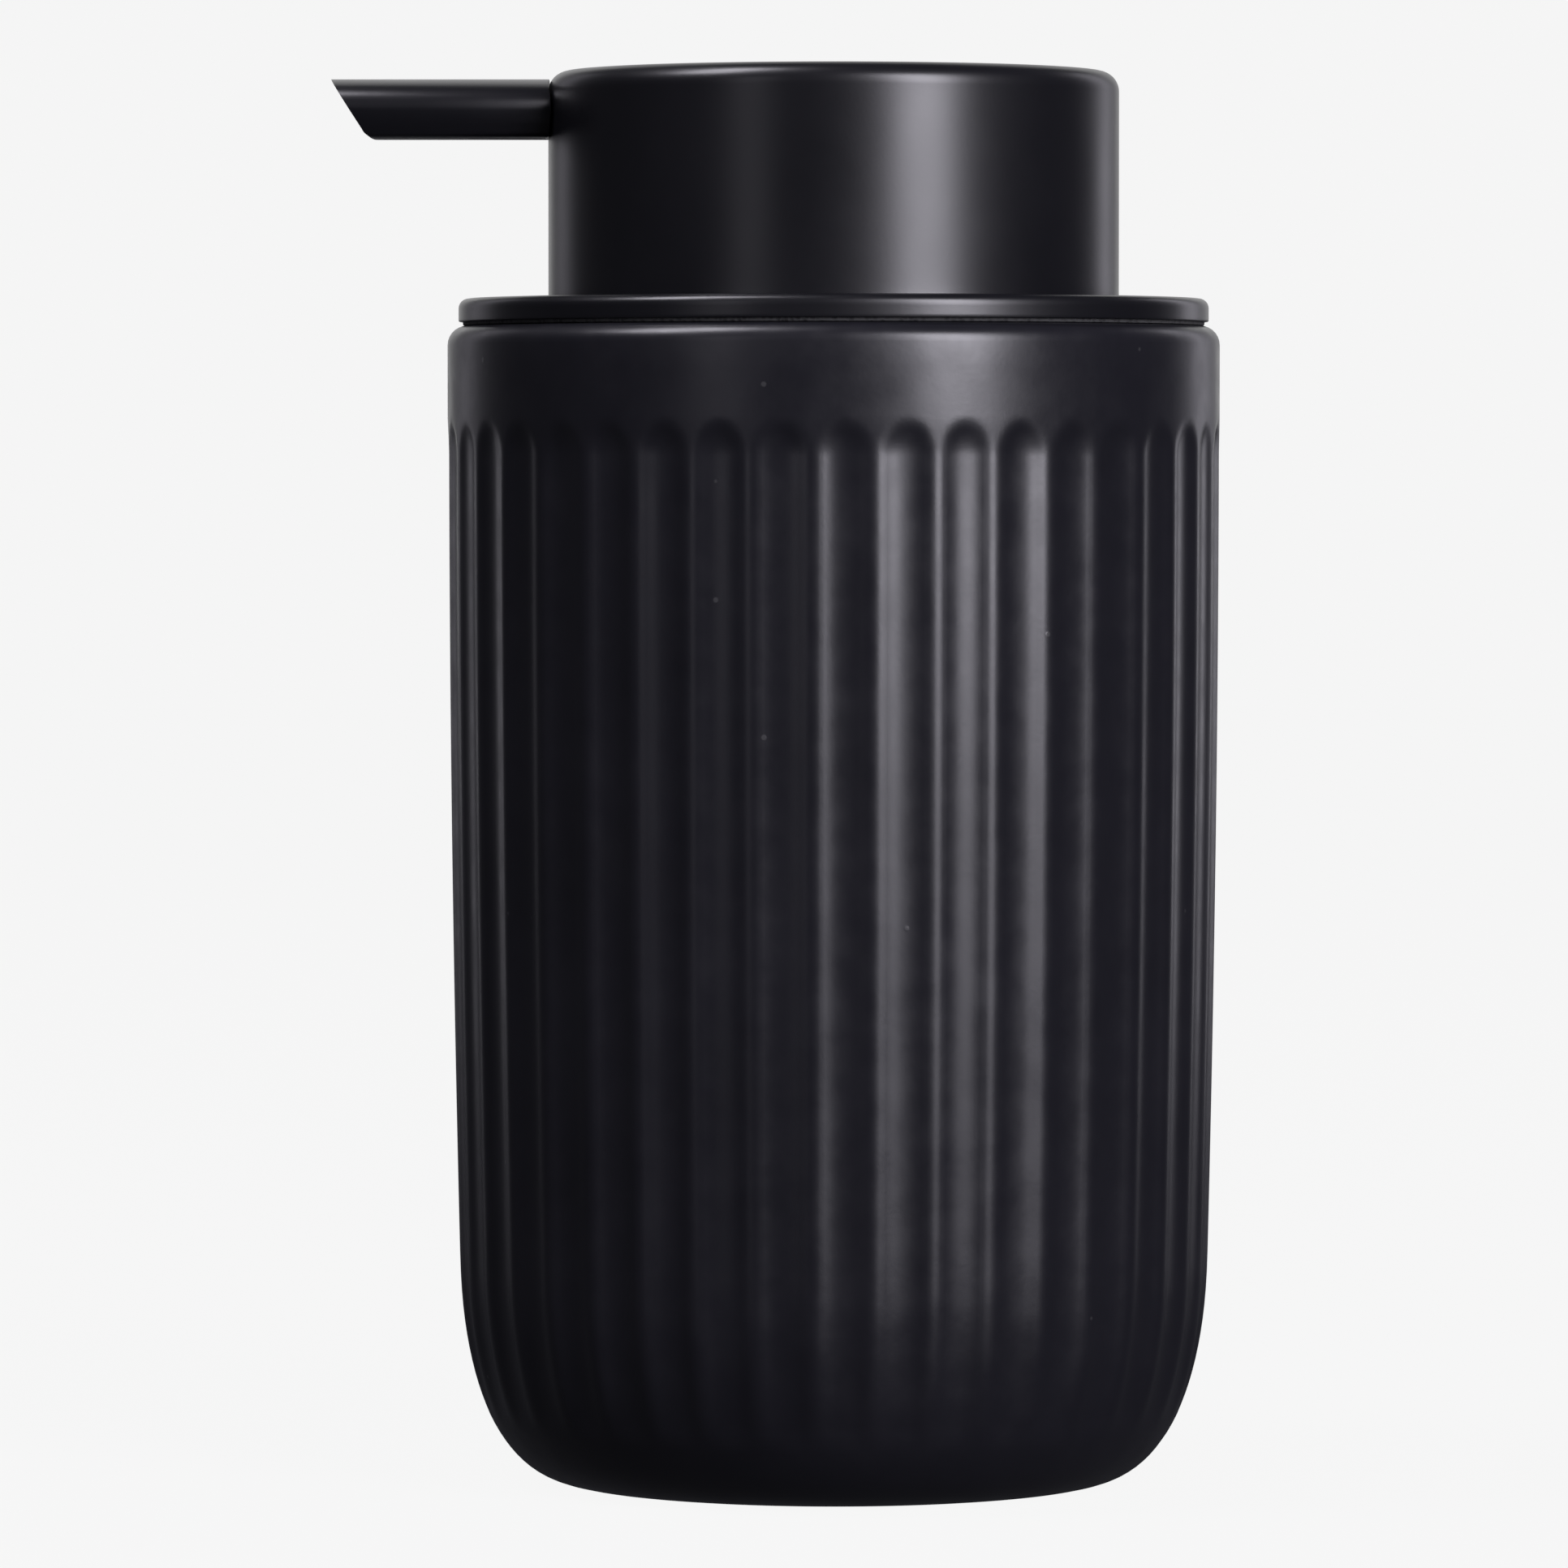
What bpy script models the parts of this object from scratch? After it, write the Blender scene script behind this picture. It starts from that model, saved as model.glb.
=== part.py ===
# Countertop soap pump: a fluted stoneware vessel with a push-fit lid.
# The wide head plunges into a well in the lid and works a small piston pump,
# which draws through a dip tube and delivers along a flat-bottomed spout.
# Dimensions are in millimetres and become metres as each mesh is made.
# The vessel stands on Z = 0 about the Z axis, and the spout points along -X.

import math

import bmesh
import bpy
from mathutils import Matrix, Vector

MM = 0.001
GAP = 0.3                       # air between pieces that would touch
OVERSHOOT = 1.0                 # a cutter runs this far past the face it opens
CHAMFER = 0.2                   # small broken edges

# Segments round each kind of turned piece
LARGE_STEPS = 48
SMALL_STEPS = 24
TINY_STEPS = 16
SHARP_ANGLE = math.radians(35)

# Vessel
BAND_RADIUS = 40.0              # plain band under the rim
RIM_Z = 120.0
RIM_FILLET = 2.0
MOUTH_RADIUS = 34.8
MOUTH_DEPTH = 16.0
MOUTH_EASE = 0.5
WALL = 4.7
FLOOR_Z = 6.0
FOOT_RADIUS = 21.0
FOOT_Z = 0.4                    # the foot pad stands this far proud
SIDE_BOW = 1.53e-4              # barrel of the side, per mm of height squared
CORNER_HEIGHT = 24.0
CORNER_POWER = 2.73             # superellipse exponent of the lower corner
SIDE_ROWS = (55.0, 85.0)        # heights of the extra rows that follow the bow
LINER_ROWS = (60.0, 85.0)
LINER_INSET = 3.0               # the hollow's corner is smaller by this
MOUTH_SHOULDER = 2.0            # taper between the mouth and the hollow

# Flutes
FLUTES = 40
FLUTE_STEPS = 4                 # segments round each flute
FLUTE_TURN = math.radians(1.2)  # centre line of the first flute
FLUTE_DEPTH = 0.75
RIDGE_INSET = 0.2               # ridges lie this far inside the band
FLUTE_TOP_Z = 109.8
ARCH_RISE = 3.2                 # rounded top of each flute
ARCH_FADE = 1.6
FLUTE_FADE_Z = (1.0, 9.0)       # flutes run out towards the foot
ARCH_ROWS = (105.2, 107.4)      # heights of the rows that shape the tops

# Foot pad
PAD_RADIUS = 17.0
PAD_THICKNESS = 1.0

# Lid disc and the spigot under it
LID_RADIUS = 38.85
LID_UNDER_Z = RIM_Z + 0.4
LID_TOP_Z = LID_UNDER_Z + 2.4
LID_EDGE = 1.0
SPIGOT_RADIUS = 34.1
SPIGOT_WALL = 1.7
SPIGOT_Z = 111.0
GROOVE_Z = (112.8, 117.2)
GROOVE_DEPTH = 0.8
LID_CHAMFER = 0.3
LIP_RISE = 0.9                  # each lip of the seal, from its end of the groove
LIP_FACE = 0.3

# Well that the head plunges into
WELL_RADIUS = 30.85
WELL_WALL = 1.25
WELL_FLOOR_Z = 105.0
WELL_FLOOR = 2.0
WELL_CORNER = 1.0

# Head
STROKE = 12.0
HEAD_RADIUS = 29.55
HEAD_TOP_Z = 146.3
HEAD_EDGE = 2.1
HEAD_WALL = 1.6
SKIRT_Z = 117.4                 # lower end of the skirt
SKIRT_WALL = 2.25
SKIRT_BAND_Z = 124.0            # skirt is thicker below this
RUN_CLEARANCE = 0.4             # head to the hole in the lid disc
RING_Z = (118.8, 119.9)         # retaining ring under the lid disc
RING_RADIUS = 30.5
RING_SEAT = 0.65                # groove depth in the skirt
SKIRT_CHAMFER = 0.4
SKIRT_TAPER = 1.0               # height of the step from the skirt to the thin wall
ROOF_CORNER = 1.0

# Spout
SPOUT_UNDER_Z = 139.4
SPOUT_HEIGHT = 6.1
SPOUT_WIDTH = 13.0
SPOUT_REACH = 52.0
SPOUT_SIDE = 1.1                # straight part of each side
SPOUT_EDGE = 0.7                # rounding along the underside
TIP_SET_BACK = 2.6              # lower lip lies this far behind the upper one
NECK_Z = 141.5
NECK_RADIUS = 1.9
NECK_X = -12.0                  # inner end of the neck
SEAL_RADIUS = 2.85
SEAL_THICKNESS = 1.4
CHANNEL_RADIUS = 1.2
OUTLET_RADIUS = 1.55
OUTLET_X = -33.0                # channel is wider beyond this
ROOT_DEPTH = 4.0                # overlap of the neck and the spout
BACK_STEPS = 12                 # segments over the spout's round back

# Pump cylinder, its clamp and the stem collar
BORE_RADIUS = 5.35
CYLINDER_RADIUS = 6.6
THREAD_RADIUS = 7.4
THREAD_Z = 97.0
FLANGE_RADIUS = 12.5
FLANGE_THICKNESS = 1.5
GASKET_THICKNESS = 0.8
NUT_RADIUS = 13.0
NUT_HEIGHT = 4.2
NUT_FLANGE = (1.2, 1.5)         # thickness and overhang
NUT_NOTCHES = 8
NOTCH = 1.1                     # depth and half width
COLLAR_Z = 99.6                 # lower end of the collar's plug
COLLAR_CAP = (9.0, 2.0)         # radius and thickness
COLLAR_CHAMFER = 0.6
VALVE_LEDGE_Z = 68.0
VALVE_RADIUS = 3.4
VALVE_SEAT_Z = (62.5, 64.5)
VALVE_PORT = 1.4
SOCKET_Z = (50.0, 61.0)
SOCKET_RADIUS = 4.2
SOCKET_TAPER_Z = (60.0, 66.0)   # socket widens into the cylinder here
THREAD_TAPER = 1.0

# Dip tube
TUBE_RADIUS = 2.5
TUBE_BORE = 1.75
TUBE_Z = 9.0
TUBE_SLANT = 0.8

# Stem and piston
STEM_RADIUS = 3.3
STEM_BORE = 2.35
STEM_Z = (99.9, 131.0)
CORE_Z = 92.0
CORE_FLANGE = (4.4, 1.6)        # radius and thickness
CORE_NECK = 2.7
CORE_SPIGOT = (2.05, 106.0)     # radius and top
CORE_BORE = 1.3
CUP_LIP = 5.0
CUP_WAIST = 4.3
CUP_LIP_Z = (0.4, 0.9, 1.8)     # outer edge, inner edge and foot of a lip, from its end

# Return spring
WIRE = 0.7
COIL_RADIUS = 4.3
COILS = 8
END_COILS = 1.25
COIL_POINTS = 10
SEAT_PORT = 1.5
SEAT_FLANGE = 1.2               # thickness of the washer under the spring
SEAT_UPSTAND = (2.9, 2.7)       # radius and height

# Valve balls
INLET_BALL = 2.2
OUTLET_BALL = 2.7
BALL_LIFT = 1.5

# Actuator frame inside the head
HUB_RADIUS = 5.2
HUB_Z = 123.5
HUB_CEILING_Z = 137.4
FRAME_Z = (128.0, 138.0)
FRAME_RING = (26.2, 27.6)
RIBS = 4
RIB_THICKNESS = 1.6
RIB_Z = (130.0, 137.0)
RIB_START = 4.1
DUCT_CAP = 1.0                  # the duct stands this far above the hub
DUCT_END_X = -24.5
DUCT_Z = (138.4, 144.4)
DUCT_WIDTH = 7.0
RISER_RADIUS = 1.6


def material(name, colour, roughness, metallic=0.0):
    made = bpy.data.materials.new(name)
    made.use_nodes = True
    shader = made.node_tree.nodes["Principled BSDF"]
    shader.inputs["Base Color"].default_value = (*colour, 1.0)
    shader.inputs["Roughness"].default_value = roughness
    shader.inputs["Metallic"].default_value = metallic
    made.diffuse_color = (*colour, 1.0)
    return made


def finish(name, bm, look, smooth=True):
    # Turns a bmesh in millimetres into a named object in metres
    bmesh.ops.remove_doubles(bm, verts=bm.verts, dist=1e-4)
    bmesh.ops.recalc_face_normals(bm, faces=bm.faces)
    bmesh.ops.scale(bm, vec=Vector((MM, MM, MM)), verts=bm.verts)
    mesh = bpy.data.meshes.new(name)
    bm.to_mesh(mesh)
    bm.free()
    if smooth:
        mesh.shade_smooth()
        mesh.set_sharp_from_angle(angle=SHARP_ANGLE)
    mesh.materials.append(look)
    made = bpy.data.objects.new(name, mesh)
    bpy.context.scene.collection.objects.link(made)
    return made


def arc(centre, radius, start, end, steps):
    # Points of a circular arc in the (radius, height) plane, angles in degrees
    points = []
    for i in range(steps + 1):
        angle = math.radians(start + (end - start) * i / steps)
        points.append((centre[0] + radius * math.cos(angle), centre[1] + radius * math.sin(angle)))
    return points


def turn(outline, steps, start=0.0):
    # Spins a closed (radius, height) outline about Z
    bm = bmesh.new()
    verts = [bm.verts.new((r * math.cos(start), r * math.sin(start), z)) for r, z in outline]
    for a, b in zip(verts, verts[1:] + verts[:1]):
        on_axis = a.co.xy.length < 1e-6 and b.co.xy.length < 1e-6
        if not on_axis:
            bm.edges.new((a, b))
    bmesh.ops.spin(bm, geom=bm.verts[:] + bm.edges[:], cent=(0, 0, 0), axis=(0, 0, 1),
                   angle=2 * math.pi, steps=steps, use_merge=True)
    return bm


def turned(name, outline, steps, look):
    return finish(name, turn(outline, steps), look)


def along_minus_x(bm, height):
    # Lays a shape built about +Z on its side, its top towards -X
    turn_down = Matrix.Rotation(math.radians(-90), 4, "Y")
    bmesh.ops.transform(bm, matrix=Matrix.Translation((0, 0, height)) @ turn_down, verts=bm.verts)
    return bm


def rod(radius, low, high):
    return [(0.0, low), (radius, low), (radius, high), (0.0, high)]


def box(low, high):
    bm = bmesh.new()
    bmesh.ops.create_cube(bm, size=1.0)
    size = Vector(high) - Vector(low)
    centre = (Vector(high) + Vector(low)) / 2
    bmesh.ops.scale(bm, vec=size, verts=bm.verts)
    bmesh.ops.translate(bm, vec=centre, verts=bm.verts)
    return bm


def combine(target, bm, operation):
    # Keeps the second operand as a hidden wire guide
    helper = finish(target.name + "_" + operation.lower(), bm, target.data.materials[0], smooth=False)
    helper.hide_render = True
    helper.display_type = "WIRE"
    modifier = target.modifiers.new(operation.title(), "BOOLEAN")
    modifier.operation = operation
    modifier.solver = "EXACT"
    modifier.object = helper


def cut(target, bm):
    combine(target, bm, "DIFFERENCE")


def add(target, bm):
    combine(target, bm, "UNION")


def origin_to(made, point):
    # Moves an object's origin without moving its surface
    place = Vector(point) * MM
    made.data.transform(Matrix.Translation(-place))
    made.location = place


def side_radius(z):
    return BAND_RADIUS - SIDE_BOW * max(FLUTE_TOP_Z - z, 0.0) ** 2


def corner_points(steps, inset, foot, low, height):
    # Superellipse from the side down to the foot, inset from the outer wall
    points = []
    for i in range(steps + 1):
        angle = math.pi / 2 * i / steps
        z = low + height * (1 - math.sin(angle) ** (2 / CORNER_POWER))
        side = side_radius(z) - inset
        points.append((foot + (side - foot) * math.cos(angle) ** (2 / CORNER_POWER), z))
    return points


def ramp(value, low, high):
    share = min(max((value - low) / (high - low), 0.0), 1.0)
    return share * share * (3 - 2 * share)


def flute_inset(angle, z):
    # How far the outer wall lies inside the plain shape at this angle and height
    pitch = 2 * math.pi / FLUTES
    phase = (angle - FLUTE_TURN) / pitch
    across = 2 * abs(phase - round(phase))          # 0 at a flute's centre, 1 on a ridge
    scallop = 1 - across * across
    arch = FLUTE_TOP_Z - ARCH_RISE * (1 - math.sqrt(max(scallop, 0.0)))
    below_arch = ramp(arch - z, 0.0, ARCH_FADE)
    above_foot = ramp(z, *FLUTE_FADE_Z)
    return (RIDGE_INSET + FLUTE_DEPTH * scallop) * below_arch * above_foot


def make_vessel(look):
    corner = corner_points(6, 0.0, FOOT_RADIUS, FOOT_Z, CORNER_HEIGHT)
    side = [(side_radius(z), z) for z in SIDE_ROWS]
    flute_tops = [(side_radius(z), z) for z in (*ARCH_ROWS, FLUTE_TOP_Z)]
    fillet = arc((BAND_RADIUS - RIM_FILLET, RIM_Z - RIM_FILLET), RIM_FILLET, 0, 90, 2)
    outline = [(0.0, FOOT_Z)] + corner[::-1] + side + flute_tops + fillet + [(0.0, RIM_Z)]
    bm = turn(outline, FLUTES * FLUTE_STEPS, FLUTE_TURN)
    for vert in bm.verts:
        radius = vert.co.xy.length
        if radius > FOOT_RADIUS + GAP and vert.co.z < FLUTE_TOP_Z:
            inset = flute_inset(math.atan2(vert.co.y, vert.co.x), vert.co.z)
            vert.co.xy *= (radius - inset) / radius
    vessel = finish("vessel", bm, look)

    liner_foot = FOOT_RADIUS - LINER_INSET
    liner = corner_points(5, WALL, liner_foot, FLOOR_Z, CORNER_HEIGHT - LINER_INSET)
    liner_side = [(side_radius(z) - WALL, z) for z in LINER_ROWS]
    mouth_low = RIM_Z - MOUTH_DEPTH
    shoulder = mouth_low - MOUTH_SHOULDER
    mouth = [(side_radius(shoulder) - WALL, shoulder), (MOUTH_RADIUS, mouth_low),
             (MOUTH_RADIUS, RIM_Z - MOUTH_EASE), (MOUTH_RADIUS + 2 * MOUTH_EASE, RIM_Z + MOUTH_EASE)]
    hollow = [(0.0, FLOOR_Z)] + liner[::-1] + liner_side + mouth + [(0.0, RIM_Z + MOUTH_EASE)]
    cut(vessel, turn(hollow, LARGE_STEPS))
    cut(vessel, turn(rod(PAD_RADIUS + GAP, -OVERSHOOT, PAD_THICKNESS + GAP), LARGE_STEPS))
    return vessel


def make_base_pad(look):
    outline = [(0.0, 0.0), (PAD_RADIUS - CHAMFER, 0.0), (PAD_RADIUS, CHAMFER),
               (PAD_RADIUS, PAD_THICKNESS), (0.0, PAD_THICKNESS)]
    return turned("base_pad", outline, LARGE_STEPS, look)


def make_lid_disc(look):
    hole = HEAD_RADIUS + RUN_CLEARANCE
    inner = SPIGOT_RADIUS - SPIGOT_WALL
    groove = SPIGOT_RADIUS - GROOVE_DEPTH
    outline = [(hole, LID_UNDER_Z), (inner, LID_UNDER_Z), (inner, SPIGOT_Z),
               (SPIGOT_RADIUS - LID_CHAMFER, SPIGOT_Z), (SPIGOT_RADIUS, SPIGOT_Z + LID_CHAMFER),
               (SPIGOT_RADIUS, GROOVE_Z[0]), (groove, GROOVE_Z[0]),
               (groove, GROOVE_Z[1]), (SPIGOT_RADIUS, GROOVE_Z[1]),
               (SPIGOT_RADIUS, LID_UNDER_Z), (LID_RADIUS - LID_CHAMFER, LID_UNDER_Z),
               (LID_RADIUS, LID_UNDER_Z + LID_CHAMFER)]
    outline += arc((LID_RADIUS - LID_EDGE, LID_TOP_Z - LID_EDGE), LID_EDGE, 0, 90, 3)
    outline += [(hole + LID_CHAMFER, LID_TOP_Z), (hole, LID_TOP_Z - LID_CHAMFER)]
    return turned("lid_disc", outline, LARGE_STEPS, look)


def make_mouth_seal(look):
    inner = SPIGOT_RADIUS - GROOVE_DEPTH + GAP
    lip = MOUTH_RADIUS - GAP
    waist = (inner + lip) / 2
    low, high = GROOVE_Z[0] + GAP, GROOVE_Z[1] - GAP
    middle = (low + high) / 2
    outline = [(inner, low), (waist, low), (lip, low + LIP_RISE), (lip, low + LIP_RISE + LIP_FACE),
               (waist, middle), (lip, high - LIP_RISE), (lip, high - LIP_RISE + LIP_FACE),
               (waist, high), (inner, high)]
    return turned("mouth_seal", outline, LARGE_STEPS, look)


def make_guide_well(look):
    outer = WELL_RADIUS + WELL_WALL
    under = WELL_FLOOR_Z - WELL_FLOOR
    hole = THREAD_RADIUS + GAP
    outline = [(hole, under), (outer - WELL_FLOOR, under), (outer, under + WELL_FLOOR),
               (outer, LID_UNDER_Z - GAP), (WELL_RADIUS, LID_UNDER_Z - GAP),
               (WELL_RADIUS, WELL_FLOOR_Z + WELL_CORNER),
               (WELL_RADIUS - WELL_CORNER, WELL_FLOOR_Z), (hole, WELL_FLOOR_Z)]
    return turned("guide_well", outline, LARGE_STEPS, look)


def make_cylinder_gasket(look):
    low = WELL_FLOOR_Z + GAP
    high = low + GASKET_THICKNESS
    outline = [(THREAD_RADIUS + 2 * GAP, low), (FLANGE_RADIUS, low), (FLANGE_RADIUS, high),
               (THREAD_RADIUS + 2 * GAP, high)]
    return turned("cylinder_gasket", outline, SMALL_STEPS, look)


def flange_low():
    return WELL_FLOOR_Z + GASKET_THICKNESS + 2 * GAP


def make_pump_cylinder(look):
    low = flange_low()
    high = low + FLANGE_THICKNESS
    socket_bore = TUBE_RADIUS + GAP
    outline = [(socket_bore, SOCKET_Z[0]), (SOCKET_RADIUS, SOCKET_Z[0]), (SOCKET_RADIUS, SOCKET_TAPER_Z[0]),
               (CYLINDER_RADIUS, SOCKET_TAPER_Z[1]), (CYLINDER_RADIUS, THREAD_Z - THREAD_TAPER),
               (THREAD_RADIUS, THREAD_Z), (THREAD_RADIUS, low), (FLANGE_RADIUS, low),
               (FLANGE_RADIUS, high), (BORE_RADIUS, high), (BORE_RADIUS, VALVE_LEDGE_Z),
               (VALVE_RADIUS, VALVE_LEDGE_Z), (VALVE_RADIUS, VALVE_SEAT_Z[1]),
               (VALVE_PORT, VALVE_SEAT_Z[0]), (VALVE_PORT, SOCKET_Z[1]), (socket_bore, SOCKET_Z[1])]
    return turned("pump_cylinder", outline, SMALL_STEPS, look)


def make_cylinder_nut(look):
    high = WELL_FLOOR_Z - WELL_FLOOR - GAP
    low = high - NUT_HEIGHT
    bore = THREAD_RADIUS + GAP
    flange, overhang = NUT_FLANGE
    body = NUT_RADIUS - overhang
    outline = [(bore, low), (body, low), (body, high - flange), (NUT_RADIUS, high - flange),
               (NUT_RADIUS, high), (bore, high)]
    nut = turned("cylinder_nut", outline, SMALL_STEPS, look)
    notch = bmesh.new()
    for i in range(NUT_NOTCHES):
        piece = box((body - NOTCH, -NOTCH, low - OVERSHOOT), (body + OVERSHOOT, NOTCH, high - flange - GAP))
        bmesh.ops.rotate(piece, cent=(0, 0, 0), verts=piece.verts,
                         matrix=Matrix.Rotation(2 * math.pi * i / NUT_NOTCHES, 3, "Z"))
        mesh = bpy.data.meshes.new("notch")
        piece.to_mesh(mesh)
        piece.free()
        notch.from_mesh(mesh)
        bpy.data.meshes.remove(mesh)
    cut(nut, notch)
    return nut


def make_stem_collar(look):
    # Plugs the cylinder's open end, guides the stem and stops the piston
    rim, cap = COLLAR_CAP
    seat = flange_low() + FLANGE_THICKNESS + GAP
    top = seat + cap
    bore = STEM_RADIUS + RUN_CLEARANCE
    spigot = BORE_RADIUS - GAP
    outline = [(bore, COLLAR_Z), (spigot, COLLAR_Z), (spigot, seat), (rim, seat),
               (rim, top - COLLAR_CHAMFER), (rim - COLLAR_CHAMFER, top), (bore, top)]
    return turned("stem_collar", outline, SMALL_STEPS, look)


def make_dip_tube(look):
    bm = turn([(TUBE_BORE, TUBE_Z), (TUBE_RADIUS, TUBE_Z), (TUBE_RADIUS, SOCKET_Z[1] - GAP),
               (TUBE_BORE, SOCKET_Z[1] - GAP)], TINY_STEPS)
    for vert in bm.verts:
        if vert.co.z < TUBE_Z + GAP:
            vert.co.z += TUBE_SLANT * (vert.co.x + TUBE_RADIUS)
    return finish("dip_tube", bm, look)


def make_spring_seat(look):
    # Washer with an upstand: it keeps the inlet ball down and centres the spring
    low = VALVE_LEDGE_Z + GAP
    rim = BORE_RADIUS - GAP
    upstand, height = SEAT_UPSTAND
    outline = [(SEAT_PORT, low), (rim, low), (rim, low + SEAT_FLANGE), (upstand, low + SEAT_FLANGE),
               (upstand, low + height), (SEAT_PORT, low + height)]
    return turned("spring_seat", outline, TINY_STEPS, look)


def spring_span():
    low = VALVE_LEDGE_Z + 2 * GAP + SEAT_FLANGE
    return low, CORE_Z - GAP


def make_return_spring(look):
    low, high = spring_span()
    first, last = low + WIRE / 2, high - WIRE / 2
    close_pitch = WIRE + GAP
    open_pitch = (last - first - 2 * END_COILS * close_pitch) / (COILS - 2 * END_COILS)
    curve = bpy.data.curves.new("return_spring", "CURVE")
    curve.dimensions = "3D"
    curve.bevel_depth = WIRE / 2 * MM
    curve.bevel_resolution = 1
    curve.use_fill_caps = True
    spline = curve.splines.new("POLY")
    count = COILS * COIL_POINTS
    spline.points.add(count)
    height = first
    for i in range(count + 1):
        turns = i / COIL_POINTS
        angle = 2 * math.pi * turns
        if i:
            closed = turns <= END_COILS or turns > COILS - END_COILS
            height += (close_pitch if closed else open_pitch) / COIL_POINTS
        spline.points[i].co = (COIL_RADIUS * MM * math.cos(angle), COIL_RADIUS * MM * math.sin(angle),
                               height * MM, 1.0)
    curve.materials.append(look)
    made = bpy.data.objects.new("return_spring", curve)
    bpy.context.scene.collection.objects.link(made)
    return made


def make_ball(name, radius, centre_z, look):
    bm = bmesh.new()
    bmesh.ops.create_icosphere(bm, subdivisions=2, radius=radius)
    bmesh.ops.translate(bm, vec=(0, 0, centre_z), verts=bm.verts)
    ball = finish(name, bm, look)
    origin_to(ball, (0, 0, centre_z))
    return ball


def make_inlet_ball(look):
    # Rests a gap off the 45 degree seat
    apex = VALVE_SEAT_Z[0] - VALVE_PORT
    return make_ball("inlet_ball", INLET_BALL, apex + (INLET_BALL + GAP) * math.sqrt(2), look)


def make_outlet_ball(look):
    # Rests a gap off the stem's upper edge
    rise = math.sqrt((OUTLET_BALL + GAP) ** 2 - STEM_BORE ** 2)
    return make_ball("outlet_ball", OUTLET_BALL, STEM_Z[1] + rise, look)


def make_stem(look):
    outline = [(STEM_BORE, STEM_Z[0]), (STEM_RADIUS, STEM_Z[0]), (STEM_RADIUS, STEM_Z[1]),
               (STEM_BORE, STEM_Z[1])]
    return turned("stem", outline, SMALL_STEPS, look)


def make_piston_core(look):
    radius, thick = CORE_FLANGE
    spigot, top = CORE_SPIGOT
    shoulder = STEM_Z[0] - GAP
    outline = [(CORE_BORE, CORE_Z), (radius, CORE_Z), (radius, CORE_Z + thick), (CORE_NECK, CORE_Z + thick),
               (CORE_NECK, shoulder), (spigot, shoulder), (spigot, top), (CORE_BORE, top)]
    return turned("piston_core", outline, SMALL_STEPS, look)


def make_piston_cup(look):
    inner = CORE_NECK + GAP
    low = CORE_Z + CORE_FLANGE[1] + GAP
    high = STEM_Z[0] - 2 * GAP
    outer, under, foot = CUP_LIP_Z
    outline = [(inner, low), (CUP_WAIST, low), (CUP_LIP, low + outer), (CUP_LIP, low + under),
               (CUP_WAIST, low + foot), (CUP_WAIST, high - foot), (CUP_LIP, high - under),
               (CUP_LIP, high - outer), (CUP_WAIST, high), (inner, high)]
    return turned("piston_cup", outline, SMALL_STEPS, look)


def head_outline(grow, low):
    # Outer surface of the head, grown outwards, from the skirt to the axis
    radius, top, edge = HEAD_RADIUS + grow, HEAD_TOP_Z + grow, HEAD_EDGE + grow
    return [(radius, low)] + arc((radius - edge, top - edge), edge, 0, 90, 4) + [(0.0, top)]


def make_head_shell(look):
    thin = HEAD_RADIUS - HEAD_WALL
    thick = HEAD_RADIUS - SKIRT_WALL
    groove = HEAD_RADIUS - RING_SEAT
    roof = HEAD_TOP_Z - HEAD_WALL
    ring_low, ring_high = RING_Z[0] - GAP, RING_Z[1] + GAP
    outline = [(thick, SKIRT_Z), (HEAD_RADIUS - SKIRT_CHAMFER, SKIRT_Z),
               (HEAD_RADIUS, SKIRT_Z + SKIRT_CHAMFER),
               (HEAD_RADIUS, ring_low), (groove, ring_low), (groove, ring_high)]
    outline += head_outline(0.0, ring_high)
    outline += [(0.0, roof), (thin - ROOF_CORNER, roof), (thin, roof - ROOF_CORNER),
                (thin, SKIRT_BAND_Z + SKIRT_TAPER), (thick, SKIRT_BAND_Z)]
    shell = turned("head_shell", outline, LARGE_STEPS, look)
    hole = turn(rod(NECK_RADIUS + GAP, HEAD_RADIUS - ROOT_DEPTH, HEAD_RADIUS + ROOT_DEPTH), TINY_STEPS)
    cut(shell, along_minus_x(hole, NECK_Z))
    return shell


def make_retaining_ring(look):
    inner = HEAD_RADIUS - RING_SEAT + GAP
    outline = [(inner, RING_Z[0]), (RING_RADIUS - CHAMFER, RING_Z[0]), (RING_RADIUS, RING_Z[0] + CHAMFER),
               (RING_RADIUS, RING_Z[1]), (inner, RING_Z[1])]
    return turned("retaining_ring", outline, LARGE_STEPS, look)


def spout_section():
    # Flat underside, short upright sides and a low round back, as (across, up) points
    half = SPOUT_WIDTH / 2
    section = arc((half - SPOUT_EDGE, SPOUT_UNDER_Z + SPOUT_EDGE), SPOUT_EDGE, -90, 0, 2)
    back = SPOUT_UNDER_Z + SPOUT_SIDE
    rise = SPOUT_HEIGHT - SPOUT_SIDE
    for i in range(BACK_STEPS + 1):
        angle = math.pi * i / BACK_STEPS
        section.append((half * math.cos(angle), back + rise * math.sin(angle)))
    section += [(-across, up) for across, up in section[2::-1]]
    return section


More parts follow.
